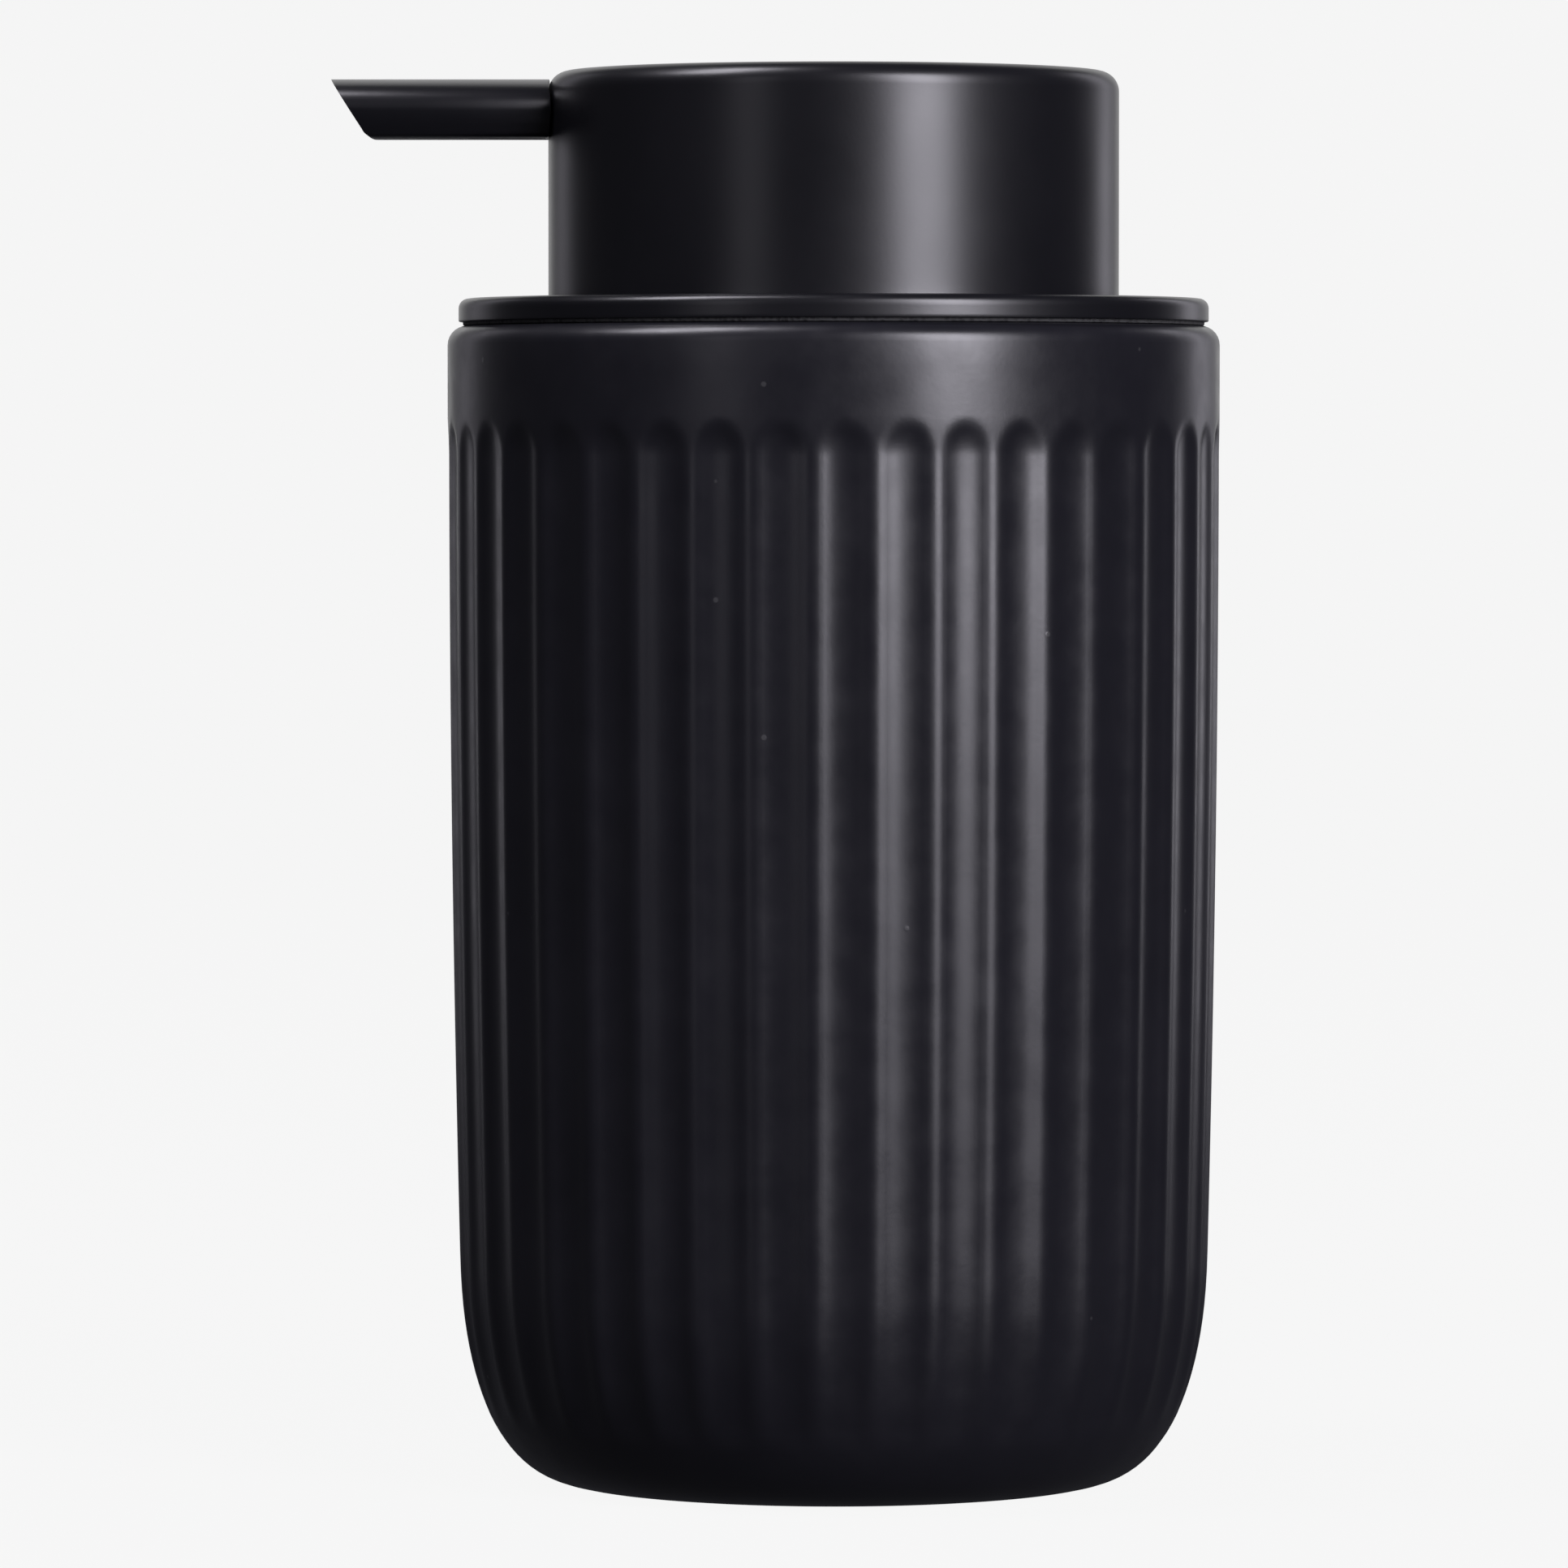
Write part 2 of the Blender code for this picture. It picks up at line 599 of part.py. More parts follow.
def make_spout(look):
    inner_x = HEAD_EDGE - HEAD_RADIUS
    bm = bmesh.new()
    face = bm.faces.new([bm.verts.new((inner_x, across, up)) for across, up in spout_section()])
    swept = bmesh.ops.extrude_face_region(bm, geom=[face])["geom"]
    tip = [item for item in swept if isinstance(item, bmesh.types.BMVert)]
    for vert in tip:
        below_top = (SPOUT_UNDER_Z + SPOUT_HEIGHT - vert.co.z) / SPOUT_HEIGHT
        vert.co.x = TIP_SET_BACK * below_top - SPOUT_REACH
    spout = finish("spout", bm, look)
    envelope = head_outline(GAP, SKIRT_Z) + [(0.0, SKIRT_Z)]
    cut(spout, turn(envelope, LARGE_STEPS))
    add(spout, along_minus_x(turn(rod(NECK_RADIUS, -NECK_X, HEAD_RADIUS + ROOT_DEPTH), TINY_STEPS), NECK_Z))
    near, far = -NECK_X - OVERSHOOT, SPOUT_REACH + OVERSHOOT
    channel = [(0.0, near), (CHANNEL_RADIUS, near), (CHANNEL_RADIUS, -OUTLET_X),
               (OUTLET_RADIUS, -OUTLET_X), (OUTLET_RADIUS, far), (0.0, far)]
    cut(spout, along_minus_x(turn(channel, TINY_STEPS), NECK_Z))
    return spout


def make_spout_seal(look):
    near = GAP - DUCT_END_X
    far = near + SEAL_THICKNESS
    bore = NECK_RADIUS + GAP
    outline = [(bore, near), (SEAL_RADIUS - CHAMFER, near), (SEAL_RADIUS, near + CHAMFER),
               (SEAL_RADIUS, far - CHAMFER), (SEAL_RADIUS - CHAMFER, far), (bore, far)]
    return finish("spout_seal", along_minus_x(turn(outline, TINY_STEPS), NECK_Z), look)


def make_actuator_frame(look):
    # Socket for the stem, a duct to the spout and ribs out to a ring inside the head
    bore = STEM_RADIUS + GAP
    hub_top = DUCT_Z[1] - DUCT_CAP
    hub = [(bore, HUB_Z), (HUB_RADIUS, HUB_Z), (HUB_RADIUS, hub_top), (0.0, hub_top),
           (0.0, HUB_CEILING_Z), (bore, HUB_CEILING_Z)]
    frame = turned("actuator_frame", hub, SMALL_STEPS, look)
    reach = (FRAME_RING[0] + FRAME_RING[1]) / 2
    for i in range(RIBS):
        rib = box((RIB_START, -RIB_THICKNESS / 2, RIB_Z[0]), (reach, RIB_THICKNESS / 2, RIB_Z[1]))
        bmesh.ops.rotate(rib, cent=(0, 0, 0), verts=rib.verts,
                         matrix=Matrix.Rotation(math.pi * (2 * i + 1) / RIBS, 3, "Z"))
        add(frame, rib)
    ring = [(FRAME_RING[0], FRAME_Z[0]), (FRAME_RING[1], FRAME_Z[0]), (FRAME_RING[1], FRAME_Z[1]),
            (FRAME_RING[0], FRAME_Z[1])]
    add(frame, turn(ring, LARGE_STEPS))
    add(frame, box((DUCT_END_X, -DUCT_WIDTH / 2, DUCT_Z[0]), (RISER_RADIUS, DUCT_WIDTH / 2, DUCT_Z[1])))
    socket = turn(rod(NECK_RADIUS + GAP, -NECK_X - GAP, OVERSHOOT - DUCT_END_X), TINY_STEPS)
    channel = turn(rod(CHANNEL_RADIUS, RISER_RADIUS / 2, OVERSHOOT - NECK_X), TINY_STEPS)
    cut(frame, along_minus_x(socket, NECK_Z))
    cut(frame, turn(rod(RISER_RADIUS, HUB_CEILING_Z - OVERSHOOT, NECK_Z + CHANNEL_RADIUS + GAP), TINY_STEPS))
    cut(frame, along_minus_x(channel, NECK_Z))
    return frame


for old in list(bpy.data.objects):
    bpy.data.objects.remove(old, do_unlink=True)

stoneware = material("stoneware", (0.020, 0.020, 0.022), 0.45)
soft_black = material("soft_black", (0.016, 0.016, 0.018), 0.5)
silicone = material("silicone", (0.05, 0.05, 0.052), 0.6)
pad_rubber = material("pad_rubber", (0.03, 0.03, 0.03), 0.8)
black_nylon = material("black_nylon", (0.03, 0.03, 0.032), 0.5)
white_plastic = material("white_plastic", (0.80, 0.80, 0.78), 0.35)
clear_plastic = material("clear_plastic", (0.70, 0.72, 0.72), 0.2)
piston_plastic = material("piston_plastic", (0.75, 0.75, 0.72), 0.4)
steel = material("steel", (0.62, 0.61, 0.60), 0.25, 1.0)

make_vessel(stoneware)
make_base_pad(pad_rubber)

make_lid_disc(soft_black)
make_mouth_seal(silicone)
make_guide_well(black_nylon)
make_cylinder_gasket(silicone)
make_pump_cylinder(white_plastic)
make_cylinder_nut(black_nylon)
make_stem_collar(white_plastic)
make_spring_seat(white_plastic)
make_return_spring(steel)
make_dip_tube(clear_plastic)
make_inlet_ball(steel)

plunger = [make_stem(white_plastic), make_piston_core(white_plastic), make_piston_cup(piston_plastic)]

head = [make_actuator_frame(white_plastic), make_head_shell(soft_black),
        make_retaining_ring(black_nylon), make_spout(soft_black), make_spout_seal(silicone)]
outlet_ball = make_outlet_ball(steel)

# The stroke moves the plunger down the Z axis, and the head turns about it
stroke_axis = bpy.data.objects.new("stroke_axis", None)
bpy.context.scene.collection.objects.link(stroke_axis)
for piece in plunger:
    piece.parent = stroke_axis
swivel_axis = bpy.data.objects.new("swivel_axis", None)
swivel_axis.parent = stroke_axis
bpy.context.scene.collection.objects.link(swivel_axis)
for piece in head + [outlet_ball]:
    piece.parent = swivel_axis
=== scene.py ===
import math
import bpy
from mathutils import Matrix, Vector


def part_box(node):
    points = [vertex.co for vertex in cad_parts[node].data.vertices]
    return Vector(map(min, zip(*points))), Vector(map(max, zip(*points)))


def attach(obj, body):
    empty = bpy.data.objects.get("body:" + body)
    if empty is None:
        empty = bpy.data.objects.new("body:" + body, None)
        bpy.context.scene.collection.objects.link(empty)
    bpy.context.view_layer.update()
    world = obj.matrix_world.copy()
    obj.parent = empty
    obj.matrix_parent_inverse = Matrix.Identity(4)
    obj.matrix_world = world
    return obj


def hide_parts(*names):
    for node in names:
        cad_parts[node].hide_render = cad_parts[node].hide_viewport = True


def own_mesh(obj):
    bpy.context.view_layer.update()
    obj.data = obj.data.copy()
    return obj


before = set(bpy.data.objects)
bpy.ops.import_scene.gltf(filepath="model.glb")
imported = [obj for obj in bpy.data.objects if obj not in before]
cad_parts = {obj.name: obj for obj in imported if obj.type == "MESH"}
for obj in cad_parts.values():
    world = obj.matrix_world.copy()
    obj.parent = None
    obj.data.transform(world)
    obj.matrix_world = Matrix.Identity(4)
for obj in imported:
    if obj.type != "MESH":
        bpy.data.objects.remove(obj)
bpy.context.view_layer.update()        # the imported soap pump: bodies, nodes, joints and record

from types import SimpleNamespace as Values
import bpy
from mathutils import Vector

mm = 0.001
fullTurn = 2 * math.pi


# Small helpers: each leaves one finished object, at the origin, in object mode

def setMode(mode):
    bpy.ops.object.mode_set(mode=mode)


def deselectAll():
    if bpy.context.mode != "OBJECT":
        setMode("OBJECT")
    bpy.ops.object.select_all(action="DESELECT")


def selectMesh():
    bpy.ops.mesh.select_all(action="SELECT")


def turnAbout(angle):
    bpy.ops.transform.rotate(value=angle, orient_axis="Z", center_override=(0, 0, 0))


def pick(piece):
    deselectAll()
    piece.select_set(True)
    bpy.context.view_layer.objects.active = piece


def curveCorner(centre, radius, startAngle, endAngle, steps):
    # Points on an arc in the (radius, height) plane; angles in degrees
    points = []
    for i in range(steps + 1):
        angle = math.radians(startAngle + (endAngle - startAngle) * i / steps)
        points.append((centre[0] + radius * math.cos(angle), centre[1] + radius * math.sin(angle)))
    return points


def drawPath(name, points):
    # A vertex is drawn out from point to point, and the mesh stays in edit mode
    deselectAll()
    bpy.ops.mesh.primitive_plane_add(size=mm)
    piece = bpy.context.active_object
    piece.name = name
    setMode("EDIT")
    bpy.ops.mesh.merge(type="CENTER")
    bpy.ops.transform.translate(value=points[0])
    for here, there in zip(points, points[1:]):
        step = [b - a for a, b in zip(here, there)]
        bpy.ops.mesh.extrude_region_move(TRANSFORM_OT_translate={"value": step})
    return piece


def drawOutline(name, points, close):
    # Points are (radius, height) pairs, drawn in the XZ plane
    piece = drawPath(name, [(radius, 0, height) for radius, height in points])
    piece.data.name = name
    if close:
        setMode("OBJECT")
        for vert in piece.data.vertices:
            vert.select = len([edge for edge in piece.data.edges if vert.index in edge.vertices]) == 1
        setMode("EDIT")
        bpy.ops.mesh.edge_face_add()
    selectMesh()
    return piece


def spinOutline(piece, steps, angle=fullTurn, axis=(0, 0, 1)):
    selectMesh()
    bpy.ops.mesh.spin(steps=steps, angle=angle, center=(0, 0, 0), axis=axis)
    selectMesh()
    bpy.ops.mesh.remove_doubles(threshold=0.002 * mm)
    bpy.ops.mesh.normals_make_consistent(inside=False)
    setMode("OBJECT")
    return piece


easeValues = {"sharpAngle": math.radians(30), "shortest": 1e-6, "mostOfSide": 0.4,
              "cornerShares": (0, 0.33, 0.67, 1), "longSide": 1.2 * mm, "nearAxis": 0.5 * mm,
              "hold": 0.2 * mm}


def easeOutline(points, edge, close):
    # Rounds every sharp corner and holds each long straight with rows near its ends
    v = Values(**easeValues)
    rounded = []
    count = len(points)
    for i, here in enumerate(points):
        before, after = Vector(points[i - 1]), Vector(points[(i + 1) % count])
        here = Vector(here)
        into, out = here - before, after - here
        isEnd = not close and i in (0, count - 1)
        isShort = min(into.length, out.length) < v.shortest
        if isEnd or isShort or abs(into.angle_signed(out, 0)) < v.sharpAngle:
            rounded.append(here)
            continue
        reach = min(edge, into.length * v.mostOfSide, out.length * v.mostOfSide)
        start, stop = here - into.normalized() * reach, here + out.normalized() * reach
        for share in v.cornerShares:
            rounded.append(start.lerp(here, share).lerp(here.lerp(stop, share), share))
    held = []
    for here, there in zip(rounded, rounded[1:] + rounded[:1] if close else rounded[1:]):
        held.append(tuple(here))
        span = there - here
        if span.length > v.longSide and max(here.x, there.x) > v.nearAxis:
            step = span.normalized() * v.hold
            held += [tuple(here + step), tuple(there - step)]
    if not close:
        held.append(tuple(rounded[-1]))
    return held


def soften(piece, width, segments, angle):
    # Breaks the sharp edges and applies the bevel
    pick(piece)
    bevel = piece.modifiers.new("soften", "BEVEL")
    bevel.width = width
    bevel.segments = segments
    bevel.limit_method = "ANGLE"
    bevel.angle_limit = math.radians(angle)
    bevel.miter_outer = "MITER_ARC"
    bpy.ops.object.modifier_apply(modifier=bevel.name)


def smooth(piece, angle=32):
    pick(piece)
    bpy.ops.object.shade_smooth_by_angle(angle=math.radians(angle))


def pressIn(piece, group, depth):
    # Pushes a group's vertices inwards, each by its weight
    pick(piece)
    press = piece.modifiers.new("press", "DISPLACE")
    press.vertex_group = group.name
    press.strength = -depth
    press.mid_level = 0.0
    bpy.ops.object.modifier_apply(modifier=press.name)
    piece.vertex_groups.clear()


def repeatRound(piece, count):
    # Copies the mesh being edited round the axis
    setMode("OBJECT")
    whole = len(piece.data.vertices)
    for i in range(1, count):
        for element in (*piece.data.vertices, *piece.data.edges, *piece.data.polygons):
            element.select = False
        for face in piece.data.polygons:
            face.select = max(face.vertices) < whole
        setMode("EDIT")
        bpy.ops.mesh.duplicate()
        turnAbout(fullTurn * i / count)
        setMode("OBJECT")


def turnPiece(name, points, steps, edge=0.0, close=True):
    piece = drawOutline(name, easeOutline(points, edge, close), close)
    spinOutline(piece, steps)
    smooth(piece)
    return piece


def neckCutter(radius, fromX, toX, height):
    # A rod along X, for the bores between the stem and the spout's tip
    deselectAll()
    bpy.ops.mesh.primitive_cylinder_add(vertices=48, radius=radius, depth=abs(toX - fromX),
                                        location=((fromX + toX) / 2, 0, height), rotation=(0, math.pi / 2, 0))
    bpy.ops.object.transform_apply(location=True, rotation=True, scale=True)
    return bpy.context.active_object


def cutWith(piece, cutter, operation="DIFFERENCE"):
    pick(piece)
    cut = piece.modifiers.new("cut", "BOOLEAN")
    cut.operation = operation
    cut.solver = "EXACT"
    cut.object = cutter
    bpy.ops.object.modifier_apply(modifier=cut.name)
    bpy.data.objects.remove(cutter)


def dress(piece, look, body, slotName, *nodes):
    if look.name not in piece.data.materials:
        piece.data.materials.append(look)
    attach(piece, body)
    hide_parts(*nodes)


# Finishes

def startLook(name, colour, roughness, metallic=0.0):
    look = bpy.data.materials.new(name)
    look.use_nodes = True
    shader = look.node_tree.nodes["Principled BSDF"]
    shader.inputs["Base Color"].default_value = (*colour, 1)
    shader.inputs["Roughness"].default_value = roughness
    shader.inputs["Metallic"].default_value = metallic
    return look, look.node_tree, shader


def addNode(tree, kind, **values):
    node = tree.nodes.new(kind)
    for key, value in values.items():
        if key in node.inputs:
            node.inputs[key].default_value = value
        else:
            setattr(node, key, value)
    return node


def objectCoords(tree, scale=(1, 1, 1)):
    coords = addNode(tree, "ShaderNodeTexCoord")
    mapping = addNode(tree, "ShaderNodeMapping", Scale=scale)
    tree.links.new(coords.outputs["Object"], mapping.inputs["Vector"])
    return mapping.outputs["Vector"]


def noise(tree, where, scale, detail=3.0, rough=0.55):
    node = addNode(tree, "ShaderNodeTexNoise", Scale=scale, Detail=detail, Roughness=rough)
    tree.links.new(where, node.inputs["Vector"])
    return node.outputs["Fac"]


def voronoi(tree, where, scale):
    node = addNode(tree, "ShaderNodeTexVoronoi", Scale=scale)
    tree.links.new(where, node.inputs["Vector"])
    return node


def spread(tree, value, low, high, fromLow=0.3, fromHigh=0.7):
    node = tree.nodes.new("ShaderNodeMapRange")
    for socket, number in zip(("From Min", "From Max", "To Min", "To Max"), (fromLow, fromHigh, low, high)):
        node.inputs[socket].default_value = number
    tree.links.new(value, node.inputs["Value"])
    return node.outputs["Result"]


def mixColours(tree, factor, first, second):
    node = tree.nodes.new("ShaderNodeMix")
    node.data_type = "RGBA"
    for socket, colour in ((node.inputs[6], first), (node.inputs[7], second)):
        if isinstance(colour, tuple):
            socket.default_value = (*colour, 1)
        else:
            tree.links.new(colour, socket)
    tree.links.new(factor, node.inputs[0])
    return node.outputs[2]


def cloud(tree, where, scale, detail=3.0):
    return spread(tree, noise(tree, where, scale, detail), 0.0, 1.0)


def colourBy(tree, shader, factor, first, second):
    tree.links.new(mixColours(tree, factor, first, second), shader.inputs["Base Color"])


def roughBy(tree, shader, value, low, high):
    tree.links.new(spread(tree, value, low, high), shader.inputs["Roughness"])


def grain(tree, where, scale, detail, strength, depth):
    # One layer for bumps, made of noise
    return noise(tree, where, scale, detail), strength, depth


def bumps(tree, shader, *layers):
    # Each layer is (height, strength, depth in metres)
    previous = None
    for height, strength, depth in layers:
        node = addNode(tree, "ShaderNodeBump", Strength=strength, Distance=depth)
        tree.links.new(height, node.inputs["Height"])
        if previous:
            tree.links.new(previous, node.inputs["Normal"])
        previous = node.outputs["Normal"]
    tree.links.new(previous, shader.inputs["Normal"])


def specks(tree, where, scale, size, share):
    # A sparse scatter of small round dots, 1 inside a dot
    cells = voronoi(tree, where, scale)
    near = spread(tree, cells.outputs["Distance"], 1.0, 0.0, size * 0.6, size)
    split = tree.nodes.new("ShaderNodeSeparateColor")
    tree.links.new(cells.outputs["Color"], split.inputs["Color"])
    rare = addNode(tree, "ShaderNodeMath", operation="GREATER_THAN")
    rare.inputs[1].default_value = 1 - share
    tree.links.new(split.outputs["Red"], rare.inputs[0])
    both = addNode(tree, "ShaderNodeMath", operation="MULTIPLY")
    tree.links.new(near, both.inputs[0])
    tree.links.new(rare.outputs["Value"], both.inputs[1])
    return both.outputs["Value"]


glazeValues = {"dark": (0.0060, 0.0059, 0.0084), "light": (0.0078, 0.0076, 0.0106),
               "speck": (0.03, 0.03, 0.032), "roughness": 0.38, "smoothest": 0.29, "roughest": 0.36,
               "cloudScale": 70, "glossScale": 260, "speckScatter": (420, 0.14, 0.04),
               "waves": (55, 2, 0.35, 0.25 * mm), "grain": (1900, 2, 0.16, 0.03 * mm),
               "speckBump": (0.3, 0.03 * mm)}


def blackGlaze():
    v = Values(**glazeValues)
    look, tree, shader = startLook("blackGlaze", v.dark, v.roughness)
    where = objectCoords(tree)
    ground = mixColours(tree, cloud(tree, where, v.cloudScale), v.dark, v.light)
    dots = specks(tree, where, *v.speckScatter)
    colourBy(tree, shader, dots, ground, v.speck)
    roughBy(tree, shader, noise(tree, where, v.glossScale), v.smoothest, v.roughest)
    bumps(tree, shader, grain(tree, where, *v.waves), grain(tree, where, *v.grain),
          (dots, *v.speckBump))
    return look


clayValues = {"dark": (0.030, 0.026, 0.024), "light": (0.075, 0.066, 0.058), "roughness": 0.9,
              "grainScale": 900, "grain": (1400, 4, 0.6, 0.08 * mm)}


def rawClay():
    v = Values(**clayValues)
    look, tree, shader = startLook("rawClay", v.dark, v.roughness)
    where = objectCoords(tree)
    grains = cloud(tree, where, v.grainScale, 4)
    colourBy(tree, shader, grains, v.dark, v.light)
    bumps(tree, shader, grain(tree, where, *v.grain))
    return look


satinValues = {"dark": (0.0030, 0.0030, 0.0043), "worn": (0.0042, 0.0041, 0.0058), "roughness": 0.38,
               "smoothest": 0.29, "roughest": 0.35, "marks": (38, 4, 0.6),
               "dustScatter": (520, 0.12, 0.03), "grain": (2600, 2, 0.12, 0.025 * mm),
               "dustBump": (0.25, 0.02 * mm)}


def satinBlack():
    # Soft-touch coating: a fine even grain, with faint cloudy marks from handling
    v = Values(**satinValues)
    look, tree, shader = startLook("satinBlack", v.dark, v.roughness)
    where = objectCoords(tree)
    marks = noise(tree, where, *v.marks)
    colourBy(tree, shader, spread(tree, marks, 0.0, 1.0), v.dark, v.worn)
    roughBy(tree, shader, marks, v.smoothest, v.roughest)
    dust = specks(tree, where, *v.dustScatter)
    bumps(tree, shader, grain(tree, where, *v.grain), (dust, *v.dustBump))
    return look


siliconeValues = {"base": (0.028, 0.028, 0.031), "bloom": (0.05, 0.05, 0.054), "roughness": 0.5,
                  "smoothest": 0.42, "roughest": 0.6, "bloomScale": 120, "glossScale": 300,
                  "grain": (1500, 2, 0.1, 0.03 * mm), "sheen": 0.15, "sheenRoughness": 0.5}


def darkSilicone():
    v = Values(**siliconeValues)
    look, tree, shader = startLook("darkSilicone", v.base, v.roughness)
    where = objectCoords(tree)
    bloom = cloud(tree, where, v.bloomScale)
    colourBy(tree, shader, bloom, v.base, v.bloom)
    roughBy(tree, shader, noise(tree, where, v.glossScale), v.smoothest, v.roughest)
    bumps(tree, shader, grain(tree, where, *v.grain))
    shader.inputs["Sheen Weight"].default_value = v.sheen
    shader.inputs["Sheen Roughness"].default_value = v.sheenRoughness
    return look


foamValues = {"cell": (0.012, 0.012, 0.013), "skin": (0.035, 0.035, 0.036), "roughness": 0.85,
              "cellScale": 1600, "cellEdge": (0.1, 0.6), "cellBump": (0.7, 0.12 * mm)}


def cellFoam():
    v = Values(**foamValues)
    look, tree, shader = startLook("cellFoam", v.skin, v.roughness)
    where = objectCoords(tree)
    cells = voronoi(tree, where, v.cellScale)
    depth = spread(tree, cells.outputs["Distance"], 0.0, 1.0, *v.cellEdge)
    # Painted shade: the colour darkens into the pits of the cells, following the same mask as the bump
    colourBy(tree, shader, depth, v.cell, v.skin)
    bumps(tree, shader, (depth, *v.cellBump))
    return look


nylonValues = {"base": (0.014, 0.014, 0.016), "flow": (0.024, 0.024, 0.026), "roughness": 0.5,
               "smoothest": 0.42, "roughest": 0.58, "flowScale": 90, "sparkScale": 700,
               "grain": (2200, 3, 0.3, 0.04 * mm)}


def blackNylon():
    # Spark-textured moulding
    v = Values(**nylonValues)
    look, tree, shader = startLook("blackNylon", v.base, v.roughness)
    where = objectCoords(tree)
    flow = cloud(tree, where, v.flowScale)
    colourBy(tree, shader, flow, v.base, v.flow)
    roughBy(tree, shader, noise(tree, where, v.sparkScale), v.smoothest, v.roughest)
    bumps(tree, shader, grain(tree, where, *v.grain))
    return look


whiteValues = {"base": (0.80, 0.79, 0.75), "thin": (0.70, 0.71, 0.69), "subsurface": 0.12,
               "smoothest": 0.28, "roughest": 0.42}
waxyValues = {"base": (0.74, 0.75, 0.72), "thin": (0.62, 0.65, 0.64), "subsurface": 0.2,
              "smoothest": 0.36, "roughest": 0.5}
mouldedValues = {"flowScale": 110, "glossScale": 480, "scatter": 1.5 * mm, "grain": (900, 2, 0.08, 0.03 * mm)}


def naturalWhite(name, values):
    v = Values(**values)
    look, tree, shader = startLook(name, v.base, v.smoothest)
    where = objectCoords(tree)
    flow = cloud(tree, where, mouldedValues["flowScale"])
    colourBy(tree, shader, flow, v.base, v.thin)
    roughBy(tree, shader, noise(tree, where, mouldedValues["glossScale"]), v.smoothest, v.roughest)
    shader.inputs["Subsurface Weight"].default_value = v.subsurface
    shader.inputs["Subsurface Scale"].default_value = mouldedValues["scatter"]
    bumps(tree, shader, grain(tree, where, *mouldedValues["grain"]))
    return look


tubeValues = {"base": (0.86, 0.88, 0.87), "roughness": 0.18, "smoothest": 0.14, "roughest": 0.26,
              "stretch": (1, 1, 0.06), "drawScale": 1600, "drawBump": (0.15, 0.02 * mm),
              "transmission": 0.55, "ior": 1.5}


def clearTube():
    v = Values(**tubeValues)
    look, tree, shader = startLook("clearTube", v.base, v.roughness)
    where = objectCoords(tree, v.stretch)
    drawn = noise(tree, where, v.drawScale, 2)
    roughBy(tree, shader, drawn, v.smoothest, v.roughest)
    shader.inputs["Transmission Weight"].default_value = v.transmission
    shader.inputs["IOR"].default_value = v.ior
    bumps(tree, shader, (drawn, *v.drawBump))
    return look


steelValues = {"base": (0.60, 0.59, 0.58), "dull": (0.44, 0.43, 0.43), "filmScale": 300, "glossScale": 1500,
               "grain": (3000, 2, 0.08, 0.01 * mm), "wire": (0.2, 0.34), "ball": (0.06, 0.12)}


def drawnSteel(name, smoothest, roughest):
    v = Values(**steelValues)
    look, tree, shader = startLook(name, v.base, smoothest, 1.0)
    where = objectCoords(tree)
    film = cloud(tree, where, v.filmScale)
    colourBy(tree, shader, film, v.base, v.dull)
    roughBy(tree, shader, noise(tree, where, v.glossScale), smoothest, roughest)
    bumps(tree, shader, grain(tree, where, *v.grain))
    return look


glazeLook = blackGlaze()
clayLook = rawClay()
satinLook = satinBlack()
siliconeLook = darkSilicone()
foamLook = cellFoam()
nylonLook = blackNylon()
whiteLook = naturalWhite("naturalWhite", whiteValues)
waxyLook = naturalWhite("waxyWhite", waxyValues)
tubeLook = clearTube()
wireLook = drawnSteel("drawnWire", *steelValues["wire"])
ballLook = drawnSteel("polishedSteel", *steelValues["ball"])
print("finishes ready")


# Vessel: turned with thick walls, then fluted by a painted group and a displace

vesselValues = {"foot": 26 * mm, "cornerHeight": 24 * mm, "cornerPower": 2.35, "sideBow": 0.140,
                "flutes": 40, "stepsPerFlute": 12, "fluteTurn": math.radians(1.2), "depth": 0.48 * mm,
                "ridgeInset": 0.06 * mm, "scallopShare": 0.66, "scallopPower": 2.2,
                "fluteTop": 110.7 * mm, "runOut": 4.2 * mm, "fadeLow": 3.0 * mm, "fadeHigh": 15.0 * mm,
                "wobble": 0.05, "wobbleAround": (2.3, 1.1), "wobbleUp": 31,
                "bandLow": 1.6 * mm, "bandHigh": 2.5 * mm, "rimRound": 2.0 * mm, "lipRound": 1.2 * mm,
                "wall": 4.7 * mm, "floor": 6.0 * mm, "mouth": 34.8 * mm, "mouthDepth": 16 * mm,
                "mouthEase": 1.5 * mm, "bowlTop": 30 * mm, "bowlDrop": 3 * mm, "linerFoot": 18 * mm,
                "footDrop": 0.25 * mm, "padRecess": 17.3 * mm, "recessDepth": 0.9 * mm, "bareFoot": 0.8 * mm,
                "rows": {"corner": 26, "side": 26, "runOut": 14, "rim": 7, "lip": 5, "inside": 7, "bowl": 12}}

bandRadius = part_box("vessel")[1].x


def sideRadius(z):
    v = Values(**vesselValues)
    return bandRadius - v.sideBow * max(v.fluteTop - z, 0.0) ** 2


def cornerCurve(steps, inset, foot, low, height):
    # Superellipse from the foot up to the side
    v = Values(**vesselValues)
    points = []
    for i in range(steps, -1, -1):
        angle = math.pi / 2 * (i / steps)
        z = low + height * (1 - math.sin(angle) ** (2 / v.cornerPower))
        side = sideRadius(z) - inset
        points.append((foot + (side - foot) * math.cos(angle) ** (2 / v.cornerPower), z))
    return points


def climb(low, high, steps, inset=0.0):
    heights = [low + (high - low) * i / steps for i in range(1, steps)]
    return [(sideRadius(z) - inset, z) for z in heights]


def easeBetween(value, low, high):
    share = min(max((value - low) / (high - low), 0.0), 1.0)
    return share * share * (3 - 2 * share)


